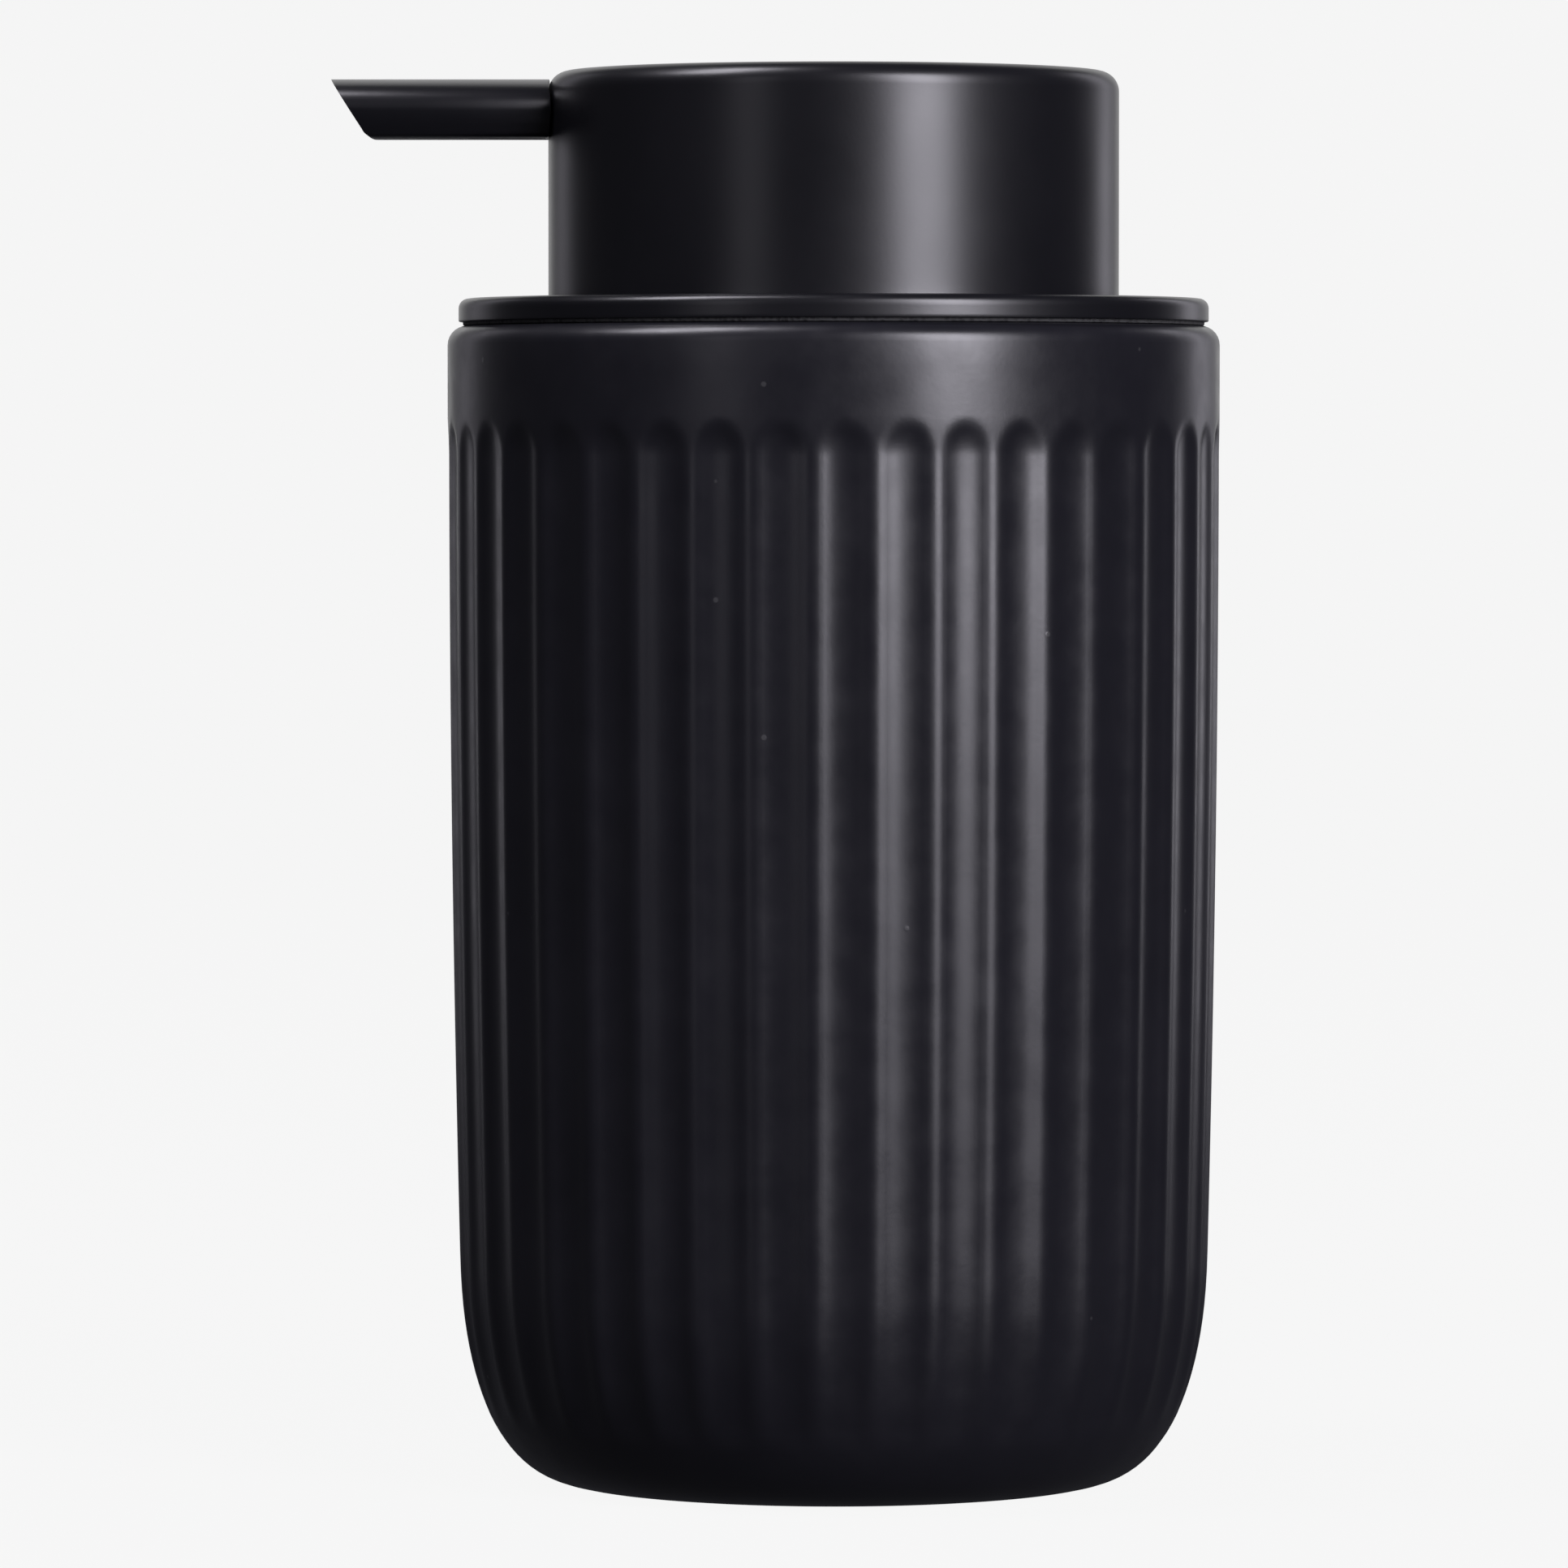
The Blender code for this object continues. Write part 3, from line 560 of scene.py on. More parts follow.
def fluteDepth(angle, z):
    # Concave middle and rounded ridge, with a round end at the top
    v = Values(**vesselValues)
    pitch = fullTurn / v.flutes
    turns = (angle - v.fluteTurn) / pitch
    number = round(turns)
    across = 2 * abs(turns - number)
    end = max((z - v.fluteTop + v.runOut) / v.runOut, 0.0)
    out = min(math.hypot(across, end), 1.0)
    share, power = v.scallopShare, v.scallopPower
    shoulder = power * (1 - share) / (2 * share + power * (1 - share))
    if out < share:
        groove = 1 - (1 - shoulder) * (out / share) ** power
    else:
        groove = shoulder * ((1 - out) / (1 - share)) ** 2
    around, phase = v.wobbleAround
    handmade = 1 + v.wobble * math.sin(around * number + phase) * math.cos(v.wobbleUp * z + number)
    ridge = v.ridgeInset * (1 - easeBetween(end, 0.0, 1.0))
    return (v.depth * handmade * groove + ridge) * easeBetween(z, v.fadeLow, v.fadeHigh)


def makeVessel():
    v = Values(**vesselValues)
    rows = v.rows
    low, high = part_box("vessel")
    rim, foot = high.z, low.z - v.footDrop
    corner = cornerCurve(rows["corner"], 0.0, v.foot, foot, v.cornerHeight)
    upper = v.fluteTop - v.runOut
    side = climb(v.cornerHeight + foot, upper, rows["side"])
    heights = [upper + v.runOut * i / rows["runOut"] for i in range(rows["runOut"] + 1)]
    runOut = [(sideRadius(z), z) for z in heights]
    band = [(high.x, v.fluteTop + v.bandLow), (high.x, rim - v.rimRound - v.bandHigh)]
    fillet = curveCorner((high.x - v.rimRound, rim - v.rimRound), v.rimRound, 0, 90, rows["rim"])
    lip = curveCorner((v.mouth + v.lipRound, rim - v.lipRound), v.lipRound, 90, 180, rows["lip"])
    land = rim - v.mouthDepth
    inner = [(v.mouth, land)] + climb(land - v.mouthEase, v.bowlTop, rows["inside"], v.wall)
    bowl = cornerCurve(rows["bowl"], v.wall, v.linerFoot, v.floor, v.cornerHeight - v.bowlDrop)
    recess = foot + v.recessDepth
    outside = [(0, recess), (v.padRecess, recess), (v.padRecess, foot)]
    outline = outside + corner + side + runOut + band + fillet + lip + inner + bowl[::-1] + [(0, v.floor)]
    vessel = drawOutline("vesselBody", outline, False)
    spinOutline(vessel, v.flutes * v.stepsPerFlute)

    flutes = vessel.vertex_groups.new(name="flutes")
    deepest = v.depth * (1 + v.wobble) + v.ridgeInset
    for vert in vessel.data.vertices:
        radius = vert.co.xy.length
        outer = radius > sideRadius(vert.co.z) - v.wall / 2 or vert.co.z < v.floor * 0.8
        if outer and radius > v.foot and vert.co.z < v.fluteTop:
            weight = fluteDepth(math.atan2(vert.co.y, vert.co.x), vert.co.z) / deepest
            if weight > 0:
                flutes.add([vert.index], weight, "REPLACE")
    pressIn(vessel, flutes, deepest)

    vessel.data.materials.append(glazeLook)
    vessel.data.materials.append(clayLook)
    for face in vessel.data.polygons:        # the foot is left unglazed
        if face.center.z < recess + 0.1 * mm and face.center.xy.length < v.foot + v.bareFoot:
            face.material_index = 1
    smooth(vessel, 50)
    dress(vessel, glazeLook, "vessel", "stoneware", "vessel")


padValues = {"groove": 0.35 * mm, "pitch": 3 * mm, "margin": 2 * mm}


def makeFootPad():
    v = Values(**padValues)
    low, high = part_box("base_pad")
    outline = [(0, low.z)]
    ring = v.pitch
    while ring < high.x - v.margin:       # shallow rings pressed into the underside
        outline += [(ring, low.z), (ring + v.groove, low.z + v.groove), (ring + 2 * v.groove, low.z)]
        ring += v.pitch
    outline += [(high.x, low.z), (high.x, high.z), (0, high.z)]
    pad = turnPiece("footPad", outline, 96, 0.12 * mm, close=False)
    dress(pad, foamLook, "vessel", "pad_rubber", "base_pad")


makeVessel()
makeFootPad()
print("vessel ready")


# Lid: plate with a spigot and a groove for the seal

lidValues = {"thickness": 2.4 * mm, "edgeRound": 1.0 * mm, "headGap": 0.4 * mm, "spigot": 34.1 * mm,
             "spigotWall": 1.7 * mm, "grooveDepth": 0.8 * mm, "grooveEase": 0.3 * mm,
             "landing": 38.4 * mm, "landingGap": 0.02 * mm}


def makeLidPlate():
    v = Values(**lidValues)
    low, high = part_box("lid_disc")
    sealLow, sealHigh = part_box("mouth_seal")
    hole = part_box("head_shell")[1].x + v.headGap
    under = high.z - v.thickness
    inner = v.spigot - v.spigotWall
    groove = v.spigot - v.grooveDepth
    grooveLow, grooveHigh = sealLow.z - v.grooveEase, sealHigh.z + v.grooveEase
    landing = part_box("vessel")[1].z + v.landingGap
    outline = [(hole, under), (inner, under), (inner, low.z), (v.spigot, low.z), (v.spigot, grooveLow),
               (groove, grooveLow), (groove, grooveHigh), (v.spigot, grooveHigh), (v.spigot, landing),
               (v.landing, landing), (v.landing, under), (high.x, under)]
    outline += curveCorner((high.x - v.edgeRound, high.z - v.edgeRound), v.edgeRound, 0, 90, 6)
    outline += [(hole, high.z)]
    plate = turnPiece("lidPlate", outline, 192, 0.18 * mm)
    plate.data.materials.append(satinLook)
    plate.data.materials.append(foamLook)
    for face in plate.data.polygons:         # the ring that lies on the rim takes the dark matte foam finish: painted shade, so the gap under the plate reads black
        if face.center.z < under - 0.01 * mm and face.center.xy.length > v.spigot + 0.2 * mm:
            face.material_index = 1
    dress(plate, satinLook, "lid", "soft_black", "lid_disc")


makeLidPlate()
print("lid ready")


# Head: thin shell with a rounded top edge, a thicker skirt and a ring groove

headValues = {"edgeRound": 2.1 * mm, "wall": 1.6 * mm, "skirtWall": 2.25 * mm, "skirtTop": 6.6 * mm,
              "skirtEase": 1 * mm, "grooveDepth": 0.65 * mm, "grooveEase": 0.3 * mm, "innerRound": 1.0 * mm,
              "spoutHole": 2.2 * mm, "holeIn": 5 * mm, "holeOut": 3 * mm}


def spoutHeight():
    low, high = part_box("spout_seal")
    return (low.z + high.z) / 2


def headSurface(grow=0.0):
    v = Values(**headValues)
    low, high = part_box("head_shell")
    radius, top, edge = high.x + grow, high.z + grow, v.edgeRound + grow
    return curveCorner((radius - edge, top - edge), edge, 0, 90, 10)


def makeHeadShell():
    v = Values(**headValues)
    low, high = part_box("head_shell")
    ringLow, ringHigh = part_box("retaining_ring")
    thin, thick = high.x - v.wall, high.x - v.skirtWall
    groove = high.x - v.grooveDepth
    grooveLow, grooveHigh = ringLow.z - v.grooveEase, ringHigh.z + v.grooveEase
    roof = high.z - v.wall
    step = low.z + v.skirtTop
    outline = [(thick, low.z), (high.x, low.z), (high.x, grooveLow), (groove, grooveLow),
               (groove, grooveHigh), (high.x, grooveHigh)]
    outline += headSurface()
    outline += [(0, high.z), (0, roof)]
    outline += curveCorner((thin - v.innerRound, roof - v.innerRound), v.innerRound, 90, 0, 5)
    outline += [(thin, step + v.skirtEase), (thick, step)]
    shell = turnPiece("headShell", outline, 192, 0.25 * mm)
    cutWith(shell, neckCutter(v.spoutHole, -high.x + v.holeIn, -high.x - v.holeOut, spoutHeight()))
    smooth(shell)
    dress(shell, satinLook, "head", "soft_black", "head_shell")


makeHeadShell()

spoutValues = {"side": 2.7 * mm, "drawnIn": 1.0 * mm, "squareness": 0.86, "edge": 0.7 * mm,
               "edgeSteps": 4, "archSteps": 30, "setBack": 2.6 * mm, "tipRound": 1.3 * mm, "gap": 0.3 * mm,
               "lipRound": 0.45 * mm, "rootIn": 4 * mm, "trimEnd": -20 * mm, "trimHalf": 10 * mm,
               "below": 100 * mm, "neck": 1.9 * mm, "neckEnd": -12 * mm, "channel": 1.2 * mm,
               "outlet": 1.55 * mm, "outletStart": -33 * mm}


def extrudeOutline(move):
    # Closes the drawn outline and pushes it into a solid
    bpy.ops.mesh.edge_face_add()
    bpy.ops.mesh.extrude_region_move(TRANSFORM_OT_translate={"value": move})
    selectMesh()
    bpy.ops.mesh.normals_make_consistent(inside=False)
    setMode("OBJECT")


def makeSpout():
    v = Values(**spoutValues)
    low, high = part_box("spout")
    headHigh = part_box("head_shell")[1]
    neck = spoutHeight()
    half = high.y
    section = curveCorner((half - v.drawnIn - v.edge, low.z + v.edge), v.edge, -90, -15, v.edgeSteps)
    back = low.z + v.side
    rise = high.z - back
    for i in range(v.archSteps + 1):
        angle = math.pi * i / v.archSteps
        across = math.copysign(abs(math.cos(angle)) ** v.squareness, math.cos(angle))
        section.append((half * across, back + rise * math.sin(angle) ** v.squareness))
    section += [(-across, up) for across, up in section[v.edgeSteps::-1]]
    spout = drawOutline("spoutTube", section, True)
    turnAbout(-math.pi / 2)
    bpy.ops.transform.translate(value=(-headHigh.x + v.rootIn, 0, 0))
    extrudeOutline((low.x + headHigh.x - v.rootIn, 0, 0))
    # Seen from the side, the tip leans back to a rounded lower lip
    lean = math.degrees(math.atan2(v.setBack, high.z - low.z))
    lower = low.x + v.setBack
    centre = (lower + v.tipRound * math.tan(math.radians(45 + lean / 2)), low.z + v.tipRound)
    trim = [(0, low.z - 1 * mm), (0, high.z + 1 * mm), (low.x, high.z + 1 * mm), (low.x, high.z)]
    trim += curveCorner(centre, v.tipRound, 180 + lean, 270, 8)
    trim += [(v.trimEnd, low.z)]
    trimmer = drawOutline("trimmer", trim, True)
    bpy.ops.transform.translate(value=(0, -v.trimHalf, 0))
    extrudeOutline((0, 2 * v.trimHalf, 0))
    cutWith(spout, trimmer, "INTERSECT")
    envelope = [(0, v.below), (headHigh.x + v.gap, v.below)]
    envelope += headSurface(v.gap) + [(0, headHigh.z + v.gap)]
    hollow = drawOutline("envelope", envelope, False)
    spinOutline(hollow, 192)
    cutWith(spout, hollow)
    cutWith(spout, neckCutter(v.neck, v.neckEnd, -headHigh.x - v.rootIn, neck), "UNION")
    cutWith(spout, neckCutter(v.channel, v.neckEnd + 1 * mm, v.outletStart, neck))
    cutWith(spout, neckCutter(v.outlet, v.outletStart + 0.1 * mm, low.x - 1 * mm, neck))
    soften(spout, v.lipRound / 2, 3, 35)
    smooth(spout, 40)
    dress(spout, satinLook, "head", "soft_black", "spout")


makeSpout()
print("head ready")


# Seals and well inside the lid

sealValues = {"lipRise": 0.9 * mm, "lipFace": 0.35 * mm, "middle": 0.35 * mm, "ease": 0.3 * mm}


def makeMouthSeal():
    v = Values(**sealValues)
    low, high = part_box("mouth_seal")
    inner = lidValues["spigot"] - lidValues["grooveDepth"] + v.ease
    waist = (inner + high.x) / 2
    middle = (low.z + high.z) / 2
    lowLip, highLip = low.z + v.lipRise, high.z - v.lipRise
    outline = [(inner, low.z), (waist, low.z), (high.x, lowLip), (high.x, lowLip + v.lipFace),
               (waist, middle - v.middle), (waist, middle + v.middle), (high.x, highLip),
               (high.x, highLip + v.lipFace), (waist, high.z), (inner, high.z)]
    seal = turnPiece("mouthSeal", outline, 160, 0.12 * mm)
    dress(seal, siliconeLook, "lid", "silicone", "mouth_seal")


wellValues = {"wall": 1.25 * mm, "floor": 2.0 * mm, "corner": 1.0 * mm, "hole": 7.7 * mm,
              "ridge": (17.5 * mm, 0.8 * mm, 0.5 * mm), "pockets": 12,
              "pocket": (6.5 * mm, 1.2 * mm, 1.4 * mm), "pocketAt": 18.5 * mm,
              "pocketDrop": 0.1 * mm, "pocketEdge": 0.3 * mm}


def makeGuideWell():
    # Cup with a bead round its floor, and shallow pockets round the underside
    v = Values(**wellValues)
    low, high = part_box("guide_well")
    bead, width, rise = v.ridge
    inner = high.x - v.wall
    floor = low.z + v.floor
    outline = [(v.hole, low.z), (high.x - v.floor, low.z), (high.x, floor), (high.x, high.z),
               (inner, high.z), (inner, floor + v.corner), (inner - v.corner, floor),
               (bead + width, floor), (bead + width / 2, floor + rise), (bead - width / 2, floor + rise),
               (bead - width, floor), (v.hole, floor)]
    well = turnPiece("guideWell", outline, 160, 0.25 * mm)
    deselectAll()
    bpy.ops.mesh.primitive_cube_add(size=1, location=(0, 0, 0))
    pockets = bpy.context.active_object
    setMode("EDIT")
    bpy.ops.transform.resize(value=v.pocket)
    bpy.ops.transform.translate(value=(v.pocketAt, 0, low.z - v.pocketDrop))
    bpy.ops.mesh.bevel(offset=v.pocketEdge, segments=2)
    repeatRound(pockets, v.pockets)
    cutWith(well, pockets)
    smooth(well)
    dress(well, nylonLook, "lid", "black_nylon", "guide_well")


gasketValues = {"inner": 8.0 * mm, "bead": 0.15 * mm, "beadHalf": 1 * mm}


def makeGasket():
    v = Values(**gasketValues)
    low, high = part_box("cylinder_gasket")
    middle = (v.inner + high.x) / 2
    near, far = middle - v.beadHalf, middle + v.beadHalf
    under, over = low.z + v.bead, high.z - v.bead
    outline = [(v.inner, under), (near, under), (middle, low.z), (far, under), (high.x, under),
               (high.x, over), (far, over), (middle, high.z), (near, over), (v.inner, over)]
    gasket = turnPiece("cylinderGasket", outline, 96, 0.15 * mm)
    dress(gasket, siliconeLook, "lid", "silicone", "cylinder_gasket")


makeMouthSeal()
makeGuideWell()
makeGasket()


# Pump cylinder: stepped barrel with a moulded thread below its flange

cylinderValues = {"bore": 5.35 * mm, "wall": 6.6 * mm, "flange": 1.5 * mm, "boreEase": 0.5 * mm,
                  "thread": 7.4 * mm, "threadLow": 96.0 * mm, "threadRun": 9.6 * mm, "pitch": 2.0 * mm,
                  "threadDepth": 0.7 * mm, "threadSlope": 2.2, "threadCrest": 0.6, "rows": 40,
                  "ledge": 68.0 * mm, "chamber": 3.4 * mm, "seat": (62.5 * mm, 64.5 * mm), "port": 1.4 * mm,
                  "socket": (4.2 * mm, 2.8 * mm), "socketTop": 61.0 * mm, "coneLow": 1 * mm,
                  "coneHigh": 2 * mm}


def makePumpCylinder():
    v = Values(**cylinderValues)
    low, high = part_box("pump_cylinder")
    socket, socketBore = v.socket
    under = high.z - v.flange
    outline = [(socketBore, low.z), (socket, low.z), (socket, v.socketTop - v.coneLow),
               (v.wall, v.ledge - v.coneHigh), (v.wall, v.threadLow)]
    rows = [(v.thread, v.threadLow + v.threadRun * i / v.rows) for i in range(v.rows + 1)]
    upper = [(v.thread, under), (high.x, under), (high.x, high.z), (v.bore + v.boreEase, high.z),
             (v.bore, high.z - v.boreEase), (v.bore, v.ledge), (v.chamber, v.ledge),
             (v.chamber, v.seat[1]), (v.port, v.seat[0]), (v.port, v.socketTop),
             (socketBore, v.socketTop)]
    cylinder = turnPiece("pumpCylinder", outline + rows + upper, 72, 0.2 * mm)
    thread = cylinder.vertex_groups.new(name="thread")
    for vert in cylinder.data.vertices:
        along = (vert.co.z - v.threadLow) / v.threadRun
        if vert.co.xy.length > v.thread - 0.02 * mm and 0 <= along <= 1 and vert.co.z < under - 0.2 * mm:
            turns = vert.co.z / v.pitch - math.atan2(vert.co.y, vert.co.x) / fullTurn
            wave = v.threadSlope * abs(2 * (turns - math.floor(turns)) - 1) - v.threadCrest
            thread.add([vert.index], min(max(wave, 0.0), 1.0), "REPLACE")
    pressIn(cylinder, thread, v.threadDepth)
    smooth(cylinder, 40)
    dress(cylinder, whiteLook, "lid", "white_plastic", "pump_cylinder")


nutValues = {"bore": 7.7 * mm, "overhang": 1.5 * mm, "flange": 1.2 * mm, "notches": 8, "notch": 1.3 * mm,
             "notchOut": 0.2 * mm, "notchDrop": 0.3 * mm}


def makeCylinderNut():
    v = Values(**nutValues)
    low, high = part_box("cylinder_nut")
    body = high.x - v.overhang
    shelf = high.z - v.flange
    outline = [(v.bore, low.z), (body, low.z), (body, shelf), (high.x, shelf), (high.x, high.z),
               (v.bore, high.z)]
    nut = turnPiece("cylinderNut", outline, 128, 0.3 * mm)
    deselectAll()
    bpy.ops.mesh.primitive_cylinder_add(vertices=24, radius=v.notch, depth=shelf - low.z)
    notches = bpy.context.active_object
    setMode("EDIT")
    bpy.ops.transform.translate(value=(body + v.notchOut, 0, (shelf + low.z) / 2 - v.notchDrop))
    repeatRound(notches, v.notches)
    cutWith(nut, notches)
    smooth(nut)
    dress(nut, nylonLook, "lid", "black_nylon", "cylinder_nut")


collarValues = {"bore": 3.7 * mm, "plug": 5.05 * mm, "lead": (0.25 * mm, 1 * mm), "cap": 2.0 * mm,
                "capEdge": 0.6 * mm, "funnel": 0.8 * mm, "funnelDrop": 0.5 * mm, "step": 1.2 * mm}


def makeStemCollar():
    v = Values(**collarValues)
    low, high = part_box("stem_collar")
    seat = high.z - v.cap
    leadIn, leadUp = v.lead
    dish = high.z - v.funnelDrop
    outline = [(v.bore, low.z), (v.plug - leadIn, low.z), (v.plug, low.z + leadUp), (v.plug, seat),
               (high.x, seat), (high.x, high.z - v.capEdge), (high.x - v.capEdge, high.z),
               (v.bore + v.funnel + v.step, high.z), (v.bore + v.funnel, dish),
               (v.bore, dish - v.funnel)]
    collar = turnPiece("stemCollar", outline, 96, 0.15 * mm)
    dress(collar, whiteLook, "lid", "white_plastic", "stem_collar")


springSeatValues = {"port": 1.5 * mm, "upstand": 2.9 * mm, "taper": 0.3 * mm, "flange": 1.2 * mm}


def makeSpringSeat():
    v = Values(**springSeatValues)
    low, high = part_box("spring_seat")
    outline = [(v.port, low.z), (high.x, low.z), (high.x, low.z + v.flange),
               (v.upstand, low.z + v.flange), (v.upstand - v.taper, high.z), (v.port, high.z)]
    seat = turnPiece("springSeat", outline, 72, 0.15 * mm)
    dress(seat, waxyLook, "lid", "white_plastic", "spring_seat")


springValues = {"wire": 0.7 * mm, "coil": 4.3 * mm, "coils": 8, "ends": 1.25, "endEase": 0.2,
                "closePitch": 1.0 * mm, "points": 28, "squashed": 0.45}


def makeReturnSpring():
    # The wire is drawn point by point, turned into a curve and given its thickness
    v = Values(**springValues)
    low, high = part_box("return_spring")
    first, last = low.z + v.wire / 2, high.z - v.wire / 2
    pitch = (last - first - 2 * v.ends * v.closePitch) / (v.coils - 2 * v.ends)
    easeFrom, easeTo = v.ends - v.endEase, v.ends + v.endEase
    points = []
    height = first
    for i in range(v.coils * v.points + 1):
        turns = i / v.points
        if i:
            opened = easeBetween(min(turns, v.coils - turns), easeFrom, easeTo)
            height += (v.closePitch + (pitch - v.closePitch) * opened) / v.points
        angle = fullTurn * turns
        points.append(Vector((v.coil * math.cos(angle), v.coil * math.sin(angle), min(height, last))))
    spring = drawPath("returnSpring", points)
    setMode("OBJECT")
    bpy.ops.object.convert(target="CURVE")
    spring.data.bevel_depth = v.wire / 2
    spring.data.bevel_resolution = 3
    spring.data.use_fill_caps = True
    bpy.ops.object.convert(target="MESH")
    spring.data.name = "returnSpring"
    smooth(spring, 50)
    dress(spring, wireLook, "lid", "steel", "return_spring")
    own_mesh(spring)


tubeShape = {"bore": 1.75 * mm, "slant": 0.8, "slantLift": 0.05 * mm}


def makeDipTube():
    v = Values(**tubeShape)
    low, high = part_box("dip_tube")
    outline = [(v.bore, low.z), (high.x, low.z), (high.x, high.z), (v.bore, high.z)]
    tube = turnPiece("dipTube", outline, 48, 0.1 * mm)
    pick(tube)
    setMode("EDIT")
    selectMesh()
    bpy.ops.mesh.bisect(plane_co=(-high.x, 0, low.z + v.slantLift), plane_no=(v.slant, 0, -1),
                        clear_outer=True, use_fill=True)
    setMode("OBJECT")
    smooth(tube)
    dress(tube, tubeLook, "lid", "clear_plastic", "dip_tube")


makePumpCylinder()
makeCylinderNut()
makeStemCollar()
makeSpringSeat()
makeReturnSpring()
makeDipTube()
print("pump body ready")


# Plunger: stem, piston core and cup

plungerValues = {"stemBore": 2.35 * mm, "barb": 0.12 * mm, "barbs": 3, "barbTop": 5.5 * mm,
                 "barbPitch": 1.5 * mm, "barbRun": (0.5 * mm, 0.7 * mm, 1.1 * mm), "plain": 6 * mm,
                 "coreBore": 1.3 * mm, "flange": 1.6 * mm, "neck": 2.7 * mm, "spigot": 2.05 * mm,
                 "shoulder": 99.6 * mm, "lead": (0.3 * mm, 0.5 * mm), "cupEase": 0.3 * mm,
                 "waist": 4.3 * mm, "lipEdge": 0.1 * mm, "lipBack": 0.9 * mm, "lipFoot": 1.8 * mm}


def makeStem():
    v = Values(**plungerValues)
    low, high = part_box("stem")
    waist = high.x - v.barb
    outline = [(v.stemBore, low.z), (high.x, low.z), (high.x, high.z - v.plain)]
    for i in range(v.barbs):              # faint snap rings that grip the socket
        ringLow = high.z - v.barbTop + v.barbPitch * i
        waistEnd, ringStart, ringEnd = [ringLow + run for run in v.barbRun]
        outline += [(waist, ringLow), (waist, waistEnd), (high.x, ringStart), (high.x, ringEnd)]
    outline += [(high.x, high.z), (v.stemBore, high.z)]
    stem = turnPiece("stemTube", outline, 72, 0.1 * mm)
    dress(stem, whiteLook, "plunger", "white_plastic", "stem")


def makePistonCore():
    v = Values(**plungerValues)
    low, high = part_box("piston_core")
    flange = low.z + v.flange
    leadIn, leadDown = v.lead
    outline = [(v.coreBore, low.z), (high.x, low.z), (high.x, flange), (v.neck, flange),
               (v.neck, v.shoulder), (v.spigot, v.shoulder), (v.spigot, high.z - leadDown),
               (v.spigot - leadIn, high.z), (v.coreBore, high.z)]
    core = turnPiece("pistonCore", outline, 72, 0.15 * mm)
    dress(core, whiteLook, "plunger", "white_plastic", "piston_core")


def makePistonCup():
    v = Values(**plungerValues)
    low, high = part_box("piston_cup")
    inner = v.neck + v.cupEase
    web = v.waist - v.cupEase
    outline = [(inner, low.z), (web, low.z), (high.x, low.z + v.lipEdge), (high.x, low.z + v.lipBack),
               (v.waist, low.z + v.lipFoot), (v.waist, high.z - v.lipFoot),
               (high.x, high.z - v.lipBack), (high.x, high.z - v.lipEdge), (web, high.z), (inner, high.z)]
    cup = turnPiece("pistonCup", outline, 72, 0.12 * mm)
    dress(cup, waxyLook, "plunger", "piston_plastic", "piston_cup")


ballValues = {"land": 4, "pole": 86, "rows": 20}


def makeBall(name, body, node):
    # Ground ball with a narrow polished land round its middle
    low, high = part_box(node)
    v = Values(**ballValues)
    radius, centre = (high.z - low.z) / 2, (high.z + low.z) / 2
    outline = [(0, centre - radius)] + curveCorner((0, centre), radius, -v.pole, -v.land, v.rows)
    outline += curveCorner((0, centre), radius, v.land, v.pole, v.rows) + [(0, centre + radius)]
    ball = drawOutline(name, outline, False)
    spinOutline(ball, 56)
    smooth(ball, 60)
    dress(ball, ballLook, body, "steel", node)


makeStem()
makePistonCore()
makePistonCup()
makeBall("inletBall", "inlet_valve", "inlet_ball")
makeBall("outletBall", "outlet_valve", "outlet_ball")
print("plunger ready")


# Actuator frame inside the head, its retaining ring and the spout seal

frameValues = {"hubBore": 3.6 * mm, "hub": 5.2 * mm, "hubDrop": 1 * mm, "ceiling": 137.4 * mm,
               "ring": (26.2 * mm, 27.6 * mm), "ringZ": (128.0 * mm, 138.0 * mm),
               "ribs": 4, "rib": 1.6 * mm, "ribIn": 0.6 * mm, "ribZ": (130.0 * mm, 137.0 * mm),
               "ductLow": 138.4 * mm, "duct": 7.0 * mm, "ductEnd": -24.5 * mm, "ductEdge": 0.5 * mm,
               "riser": 1.6 * mm, "riserDrop": 1 * mm, "riserRise": 1.5 * mm, "channel": 1.2 * mm,
               "channelEnd": -12.5 * mm, "socket": 2.2 * mm, "socketX": (-11.7 * mm, -26 * mm)}


def block(lowCorner, highCorner, turn=0.0, edge=0.3 * mm):
    deselectAll()
    bpy.ops.mesh.primitive_cube_add(size=1)
    piece = bpy.context.active_object
    lowCorner, highCorner = Vector(lowCorner), Vector(highCorner)
    setMode("EDIT")
    bpy.ops.transform.resize(value=highCorner - lowCorner)
    bpy.ops.transform.translate(value=(highCorner + lowCorner) / 2)
    if edge:
        bpy.ops.mesh.bevel(offset=edge, segments=2, affect="EDGES")
    if turn:
        turnAbout(turn)
    setMode("OBJECT")
    return piece


